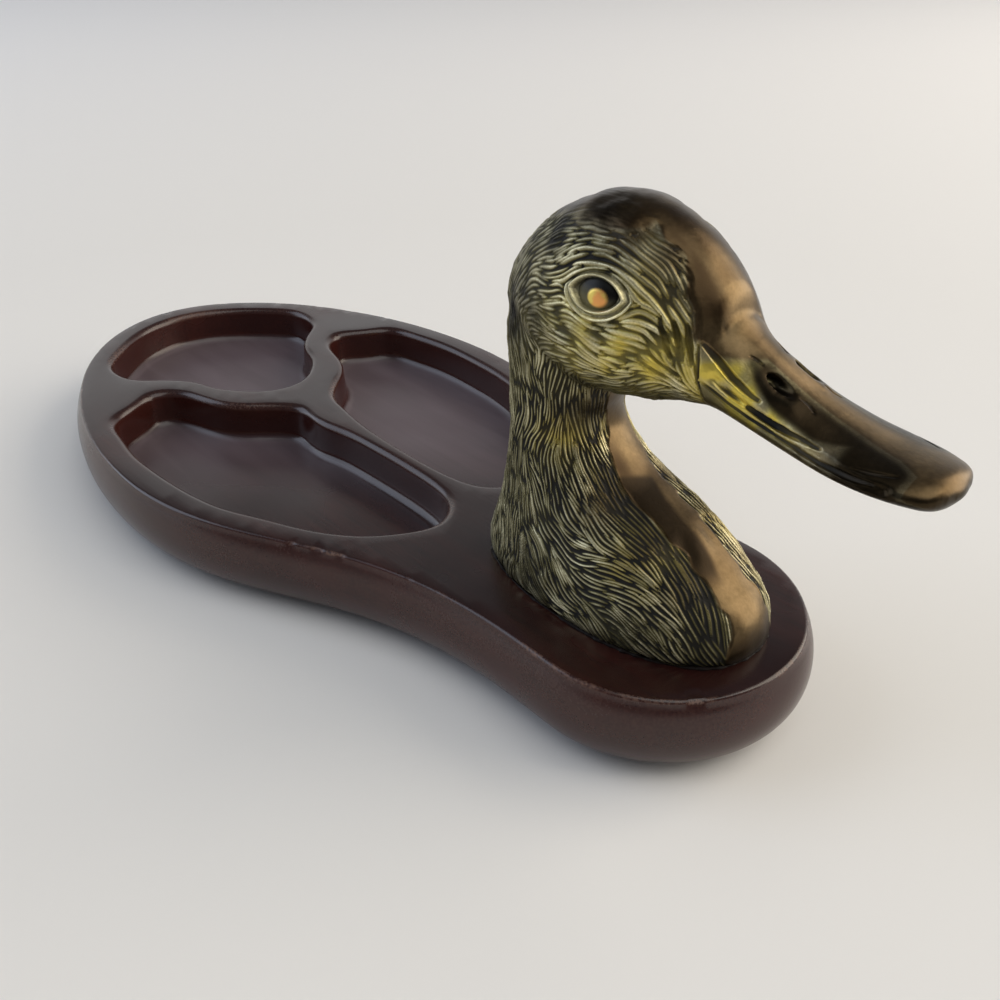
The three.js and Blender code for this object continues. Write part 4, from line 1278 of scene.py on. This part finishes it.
def engraving_tree():
    """Geometry nodes that sink a surface between strands and along cuts, and store each place's depth."""
    tree = bpy.data.node_groups.new("engraving", "GeometryNodeTree")
    sockets = {
        "Geometry": "NodeSocketGeometry", "Strands": "NodeSocketObject", "Cuts": "NodeSocketObject",
        "Full depth": "NodeSocketFloat", "Material": "NodeSocketMaterial",
    }
    for name, kind in sockets.items():
        tree.interface.new_socket(name, in_out="INPUT", socket_type=kind)
    tree.interface.new_socket("Geometry", in_out="OUTPUT", socket_type="NodeSocketGeometry")
    given = tree.nodes.new("NodeGroupInput").outputs
    strands, cuts = [
        add_node(tree, "GeometryNodeObjectInfo", {"Object": given[name]}, "Geometry")
        for name in ("Strands", "Cuts")
    ]
    back, height = line_profile(tree, strands)
    groove, depth = line_profile(tree, cuts)
    down = add_node(tree, STORED, {"Name": "down"}, "Attribute", data_type="FLOAT")
    raised = add_node(tree, MATH, (back, height), operation="MULTIPLY")
    bare = add_node(tree, MATH, (1, raised), operation="SUBTRACT")
    slit = add_node(tree, MATH, (groove, depth), operation="MULTIPLY")
    sunk = add_node(tree, MATH, (bare, down, slit), operation="MULTIPLY_ADD")
    lift = add_node(tree, MATH, (sunk, -1), operation="MULTIPLY")
    normal = add_node(tree, "GeometryNodeInputNormal")
    offset = add_node(tree, "ShaderNodeVectorMath", {0: normal, 3: lift}, operation="SCALE")
    marks = []
    for share, deep in ((bare, down), (groove, depth)):
        full = add_node(tree, MATH, (deep, given["Full depth"]), operation="DIVIDE", use_clamp=True)
        marks.append(add_node(tree, MATH, (share, full), operation="MULTIPLY"))
    mark = add_node(tree, MATH, marks, operation="MAXIMUM")
    kept = {"Geometry": given["Geometry"], "Name": "cut", "Value": mark}
    marked = add_node(tree, "GeometryNodeStoreNamedAttribute", kept, data_type="FLOAT", domain="POINT")
    moved = add_node(tree, "GeometryNodeSetPosition", {"Geometry": marked, "Offset": offset})
    real = add_node(tree, "GeometryNodeRealizeInstances", {"Geometry": moved})
    painted = add_node(tree, "GeometryNodeSetMaterial", {"Geometry": real, "Material": given["Material"]})
    add_node(tree, "NodeGroupOutput", {"Geometry": painted})
    return tree


def engrave(mesh, strands, cuts, settings, material):
    """The mesh sunk between the strands and along the cuts."""
    piece = new_object("engraved", mesh)
    modifier = piece.modifiers.new("engraving", "NODES")
    modifier.node_group = engraving_tree()
    values = {
        "Strands": strands, "Cuts": cuts, "Full depth": settings.cut_share * settings.breast_spacing * 0.7,
        "Material": material,
    }
    for socket in modifier.node_group.interface.items_tree:
        if socket.in_out == "INPUT" and socket.name in values:
            modifier[socket.identifier] = values[socket.name]
    made = evaluated_mesh(piece)
    drop(piece)
    return made


def part_between(mesh, name, planes):
    """The part of a mesh on the inner side of planes, each a place and an outward direction, closed again."""
    part = bmesh.new()
    part.from_mesh(mesh)
    for place, outward in planes:
        every = part.verts[:] + part.edges[:] + part.faces[:]
        bmesh.ops.bisect_plane(
            part, geom=every, dist=1e-7, plane_co=place, plane_no=outward, clear_outer=True
        )
        rim = [e for e in part.edges if e.is_boundary]
        caps = bmesh.ops.holes_fill(part, edges=rim, sides=0)["faces"]
        caps = bmesh.ops.triangulate(part, faces=caps)["faces"]
        for cap in caps:
            cap.smooth = False
    made = bpy.data.meshes.new(name)
    part.to_mesh(made)
    part.free()
    for material in mesh.materials:
        made.materials.append(material)
    bend = np.empty(len(made.vertices) * 3)
    made.attributes["bend"].data.foreach_get("vector", bend)
    bend = bend.reshape(-1, 3)
    made.attributes.remove(made.attributes["bend"])
    made.normals_split_custom_set_from_vertices(bend / np.linalg.norm(bend, axis=1)[:, None])
    return new_object(name, made)


class VALET_OT_casting(bpy.types.Operator):
    """Model the feathered brass casting over the frame's duck head"""

    bl_idname = "valet.casting"
    bl_label = "Brass casting"

    def execute(self, context):
        settings = context.scene.valet_duck
        brass = cast_brass(settings)
        mesh = fine_casting(settings)
        shade_smooth(mesh)
        skin = Skin(mesh)
        skin.raise_forms(settings.lump)
        skin.set_lay()
        skin.set_strands(settings)
        for name in ("polish", "yellow", "soot_and_shade", "grime", "umber_and_reflection", "bill_ridge_highlight", "spare", "down"):
            write_mask(mesh, name, getattr(skin, name))
        feathers = Feathering(skin, settings.seed)
        feathers.run()
        strands = line_object("strands", feathers.runs())
        cuts = line_object("cuts", hand_cut_runs(skin))
        mesh = engrave(mesh, strands, cuts, settings, brass)
        drop(strands)
        drop(cuts)
        bend = mesh.attributes.new("bend", "FLOAT_VECTOR", "POINT")
        bend.data.foreach_set("vector", read_normals(mesh).ravel())
        self.split(mesh)
        return {"FINISHED"}

    @staticmethod
    def split(mesh):
        """Divides the casting into pieces that meet edge to edge, to keep each mesh a fair size."""

        def at(x, z):
            return HEAD_ORIGIN + Vector((x * MM, 0, z * MM))

        forward, tilted, up = Vector((1, 0, 0)), Vector((-0.12, 0, 1)).normalized(), Vector((0, 0, 1))
        bill, brow, collar, foot = at(13.4, 0), at(-18, 0), at(-30, 45), at(0, 0.03)
        nape, breast = at(-27, 0), at(-7, 0)
        parts = {
            "duck_bill": [(bill, -forward), (collar, -tilted)],
            "duck_face": [(bill, forward), (brow, -forward), (collar, -tilted)],
            "duck_nape": [(brow, forward), (collar, -tilted)],
            "duck_neck_back": [(nape, forward), (collar, tilted), (foot, -up)],
            "duck_neck": [(nape, -forward), (breast, forward), (collar, tilted), (foot, -up)],
            "duck_breast": [(breast, -forward), (collar, tilted), (foot, -up)],
        }
        for name, planes in parts.items():
            piece = part_between(mesh, name, planes)
            finish_piece(piece, "antique_brass", "duck_head")
        bpy.data.meshes.remove(mesh)


class VALET_OT_bead(bpy.types.Operator):
    """Run the bead of lacquer round the casting's foot, whose black also paints the contact shadow there"""

    bl_idname = "valet.bead"
    bl_label = "Lacquer bead"
    OUTLINE_POINTS = 900
    # Corners of the bead's section, out from the foot and up, over its thickness.
    SECTION = ((1, -0.1), (0.95, 0.25), (0.65, 0.55), (0.1, 0.75), (-0.7, 0.75), (-0.7, -0.1))

    def execute(self, context):
        settings = context.scene.valet_duck
        foot = HEAD_ORIGIN.z
        outline = relax_loop(smooth_loop(flat_loops("duck_head", foot)[0], self.OUTLINE_POINTS), 30)
        lumps = 0.5 * ease(ripple(outline, 10 * MM, 81), -0.4, 0.8) + 0.35 * ripple(outline, 2.2 * MM, 82)
        thick = settings.bead * np.clip(0.45 + lumps, 0.25, 1.2)
        inwards = inwards_of(outline)
        draft = Draft()
        rings = [
            draft.ring(outline - inwards * (out * thick)[:, None], foot + up * thick)
            for out, up in self.SECTION
        ]
        draft.strips([*rings, rings[0]])
        piece = new_object("lacquer_bead", draft.mesh("lacquer_bead"))
        piece.data.materials.append(lacquer_bead())
        finish_piece(piece, "stained_wood")
        return {"FINISHED"}


class VALET_OT_eyes(bpy.types.Operator):
    """Set the eyeballs between the lids"""

    bl_idname = "valet.eyes"
    bl_label = "Eyes"

    def execute(self, context):
        settings = context.scene.valet_eyes
        face = bpy.data.objects["duck_face"]
        brass = gilt_eye(settings)
        tree = BVHTree.FromObject(face, context.evaluated_depsgraph_get())
        for name, side in (("duck_eye_right", -1), ("duck_eye_left", 1)):
            start = HEAD_ORIGIN + Vector((Skin.EYE[0], side * 60, Skin.EYE[1])) * MM
            floor, normal, _, _ = tree.ray_cast(start, Vector((0, -side, 0)))
            piece = new_object(name, self.ball(settings, name, floor, normal))
            piece.data.materials.append(brass)
            finish_piece(piece, "antique_brass", "duck_head")
        return {"FINISHED"}

    @staticmethod
    def ball(settings, name, floor, normal):
        """A flattened ball that stands out of the socket's floor, with a soft gilt button for the pupil."""
        ball = bmesh.new()
        bmesh.ops.create_uvsphere(ball, u_segments=72, v_segments=48, radius=1)
        made = bpy.data.meshes.new(name)
        ball.to_mesh(made)
        ball.free()
        unit = read_points(made)
        lead = math.copysign(settings.pupil_lead, -normal.y)
        from_middle = np.hypot(
            unit[:, 0] * settings.reach - lead,
            (unit[:, 1] * settings.rise + settings.pupil_drop) * settings.pupil_squat,
        )
        button = ease(from_middle, settings.pupil * 1.12, settings.pupil * 0.8) * (unit[:, 2] > 0)
        out = normal.normalized()
        up = (Vector((0, 0, 1)) - out * out.z).normalized()
        axes = np.array([up.cross(out), up, out])
        sizes = np.array([settings.reach, settings.rise, settings.depth])
        middle = np.array(floor + out * (settings.stand - settings.depth))
        write_points(made, middle + unit * sizes @ axes + np.outer(button * settings.button, out))
        # Painted shadow of the upper lid: the ball darkens towards its top.
        write_mask(made, "shade", ease(unit[:, 1] + 0.3 * unit[:, 0], -0.9, 0.35))
        write_mask(made, "pupil", button)
        shade_smooth(made)
        return made


# Fasteners, felt and stage


class VALET_OT_fasteners(bpy.types.Operator):
    """Finish the screws and washers"""

    bl_idname = "valet.fasteners"
    bl_label = "Screws and washers"

    def execute(self, context):
        steel = zinc_steel()
        for name in ("front_screw", "rear_screw", "front_washer", "rear_washer"):
            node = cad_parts[name]
            node.data.materials.clear()
            node.data.materials.append(steel)
        return {"FINISHED"}


class VALET_OT_felt(bpy.types.Operator):
    """Lay the felt sheet under the tray"""

    bl_idname = "valet.felt"
    bl_label = "Felt sheet"
    EDGE_POINTS = 700
    UNDERSIDE_GRID = 4 * MM
    TOP_GRID = 8 * MM
    # Corners of the cut edge, in from the outline and up, over the felt's thickness.
    EDGE = ((0.3, 0), (0.1, 0.1), (0, 0.35), (0, 0.7), (0.05, 1))

    def execute(self, context):
        settings = context.scene.valet_felt
        low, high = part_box("base_felt")
        outline = smooth_loop(flat_loops("base_felt", low.z)[0], self.EDGE_POINTS)
        fray = settings.edge_fray * ripple(outline, 3 * MM, 71)
        outline = outline + inwards_of(outline) * (np.abs(fray) + 0.05 * MM)[:, None]
        thick = high.z - low.z
        draft = Draft()
        rings = [
            draft.ring(inset_loop(outline, inset * thick), low.z + rise * thick) for inset, rise in self.EDGE
        ]
        draft.strips(rings)
        draft.flat([rings[0]], self.UNDERSIDE_GRID, low.z, False)
        draft.flat([rings[-1]], self.TOP_GRID, high.z, True)
        felt = new_object("felt_sheet", draft.mesh("felt_sheet"))
        felt.data.materials.append(wool_felt(settings))
        finish_piece(felt, "felt", "base_felt")
        width, long = np.ptp(outline[:, 1]), np.ptp(outline[:, 0])
        area_of(outline)
        return {"FINISHED"}


class VALET_OT_stage(bpy.types.Operator):
    """Set up the floor, the lights and the camera"""

    bl_idname = "valet.stage"
    bl_label = "Stage"
    FLOOR_REACH = 6
    # Lamps: place to the right of the tray, ahead and up, then size, watts and tint.
    LAMPS = {
        "window": ((1.9, 0.25, 1.0), 2.0, 46, "#FFF3E2"),
        "fill": ((-2.0, 0.3, 1.2), 1.8, 22, "#E0EBFF"),
        "ceiling": ((0.7, -0.8, 2.3), 2.4, 31, "#FBFAF6"),
    }
    LIT_POINT = (0.05, 0, 0.04)

    def execute(self, context):
        settings = context.scene.valet_stage
        turn = Matrix.Rotation(settings.heading, 3, "Z")
        right, ahead = turn @ Vector((1, 0, 0)), turn @ Vector((0, 1, 0))
        self.camera(context.scene, settings)
        self.floor(settings)
        self.lamps(context.scene, right, ahead)
        self.world(context.scene, ahead)
        context.scene.view_settings.view_transform = "Standard"
        return {"FINISHED"}

    @staticmethod
    def camera(scene, settings):
        """The camera, looking down on the tray from the duck's right."""
        lens = bpy.data.cameras.new("camera")
        lens.sensor_width = 36
        lens.lens = settings.lens
        lens.clip_start = 0.01
        camera = bpy.data.objects.new("camera", lens)
        camera.location = settings.camera_at
        camera.rotation_euler = (math.pi / 2 - settings.pitch, 0, settings.heading)
        scene.collection.objects.link(camera)
        scene.camera = camera

    @classmethod
    def floor(cls, settings):
        """A wide pale floor, paler far from the tray."""
        mesh = bpy.data.meshes.new("floor")
        far = cls.FLOOR_REACH
        corners = [(-far, -far, 0), (far, -far, 0), (far, far, 0), (-far, far, 0)]
        mesh.from_pydata(corners, [], [(0, 1, 2, 3)])
        floor = new_object("floor", mesh)
        material, tree, shader, place = new_material("pale_ground")
        away = add_node(tree, "ShaderNodeVectorMath", (place,), "Value", operation="LENGTH")
        share = add_node(tree, RANGE, (away, 0.3, 1.6))
        tone = add_node(tree, MIX, {0: share, 6: settings.floor, 7: settings.far_floor}, 2, data_type="RGBA")
        set_inputs(tree, shader, {"Base Color": tone, "Roughness": 0.85, "Specular IOR Level": 0.2})
        mesh.materials.append(material)

    @classmethod
    def lamps(cls, scene, right, ahead):
        """Three large soft lamps turned towards the tray."""
        target = Vector(cls.LIT_POINT)
        for name, (place, size, power, tint) in cls.LAMPS.items():
            lamp = bpy.data.lights.new(name, "AREA")
            lamp.size = size
            lamp.energy = power
            lamp.color = linear(tint)[:3]
            holder = bpy.data.objects.new(name, lamp)
            holder.location = target + right * place[0] + ahead * place[1] + Vector((0, 0, place[2]))
            holder.rotation_euler = (target - holder.location).to_track_quat("-Z", "Y").to_euler()
            scene.collection.objects.link(holder)

    @staticmethod
    def world(scene, ahead):
        """A pale room whose upper part is grey, so that polished metal shows a dark side."""
        world = bpy.data.worlds.new("studio")
        world.use_nodes = True
        tree = world.node_tree
        view = add_node(tree, "ShaderNodeTexCoord", output="Generated")
        dark_end = (Vector((0, 0, 1)) - 0.35 * ahead).normalized()
        facing = add_node(tree, "ShaderNodeVectorMath", (view, dark_end), "Value", operation="DOT_PRODUCT")
        share = add_node(tree, RANGE, (facing, 0.12, 0.31), interpolation_type="SMOOTHSTEP")
        greys = {0: share, 6: linear("#F2F2F2"), 7: linear("#626367")}
        tint = add_node(tree, MIX, greys, 2, data_type="RGBA")
        set_inputs(tree, tree.nodes["Background"], {"Color": tint, "Strength": 1})
        scene.world = world


# Panel and start


class VALET_PT_panel(bpy.types.Panel):
    """Buttons for the tray's pieces"""

    bl_label = "Valet tray"
    bl_idname = "VALET_PT_panel"
    bl_space_type = "VIEW_3D"
    bl_region_type = "UI"
    bl_category = "Valet tray"

    def draw(self, context):
        for operator in OPERATORS:
            self.layout.operator(operator.bl_idname)
        for name in SETTINGS:
            settings = getattr(context.scene, name)
            for key in settings.__annotations__:
                self.layout.prop(settings, key)


SETTINGS = {
    "valet_tray": TraySettings, "valet_duck": DuckSettings, "valet_eyes": EyeSettings,
    "valet_felt": FeltSettings, "valet_stage": StageSettings,
}
OPERATORS = [
    VALET_OT_tray, VALET_OT_casting, VALET_OT_eyes, VALET_OT_bead, VALET_OT_fasteners, VALET_OT_felt,
    VALET_OT_stage,
]
CLASSES = [*SETTINGS.values(), *OPERATORS, VALET_PT_panel]


def register():
    """Adds the classes and the scene's settings."""
    for made in CLASSES:
        bpy.utils.register_class(made)
    for name, kind in SETTINGS.items():
        setattr(bpy.types.Scene, name, PointerProperty(type=kind))


def unregister():
    """Takes the classes and settings away again."""
    for name in SETTINGS:
        delattr(bpy.types.Scene, name)
    for made in reversed(CLASSES):
        bpy.utils.unregister_class(made)


def main():
    """Builds every piece and the stage."""
    register()
    bpy.ops.valet.tray()
    bpy.ops.valet.casting()
    bpy.ops.valet.eyes()
    bpy.ops.valet.bead()
    bpy.ops.valet.fasteners()
    bpy.ops.valet.felt()
    bpy.ops.valet.stage()


if __name__ == "__main__":
    main()
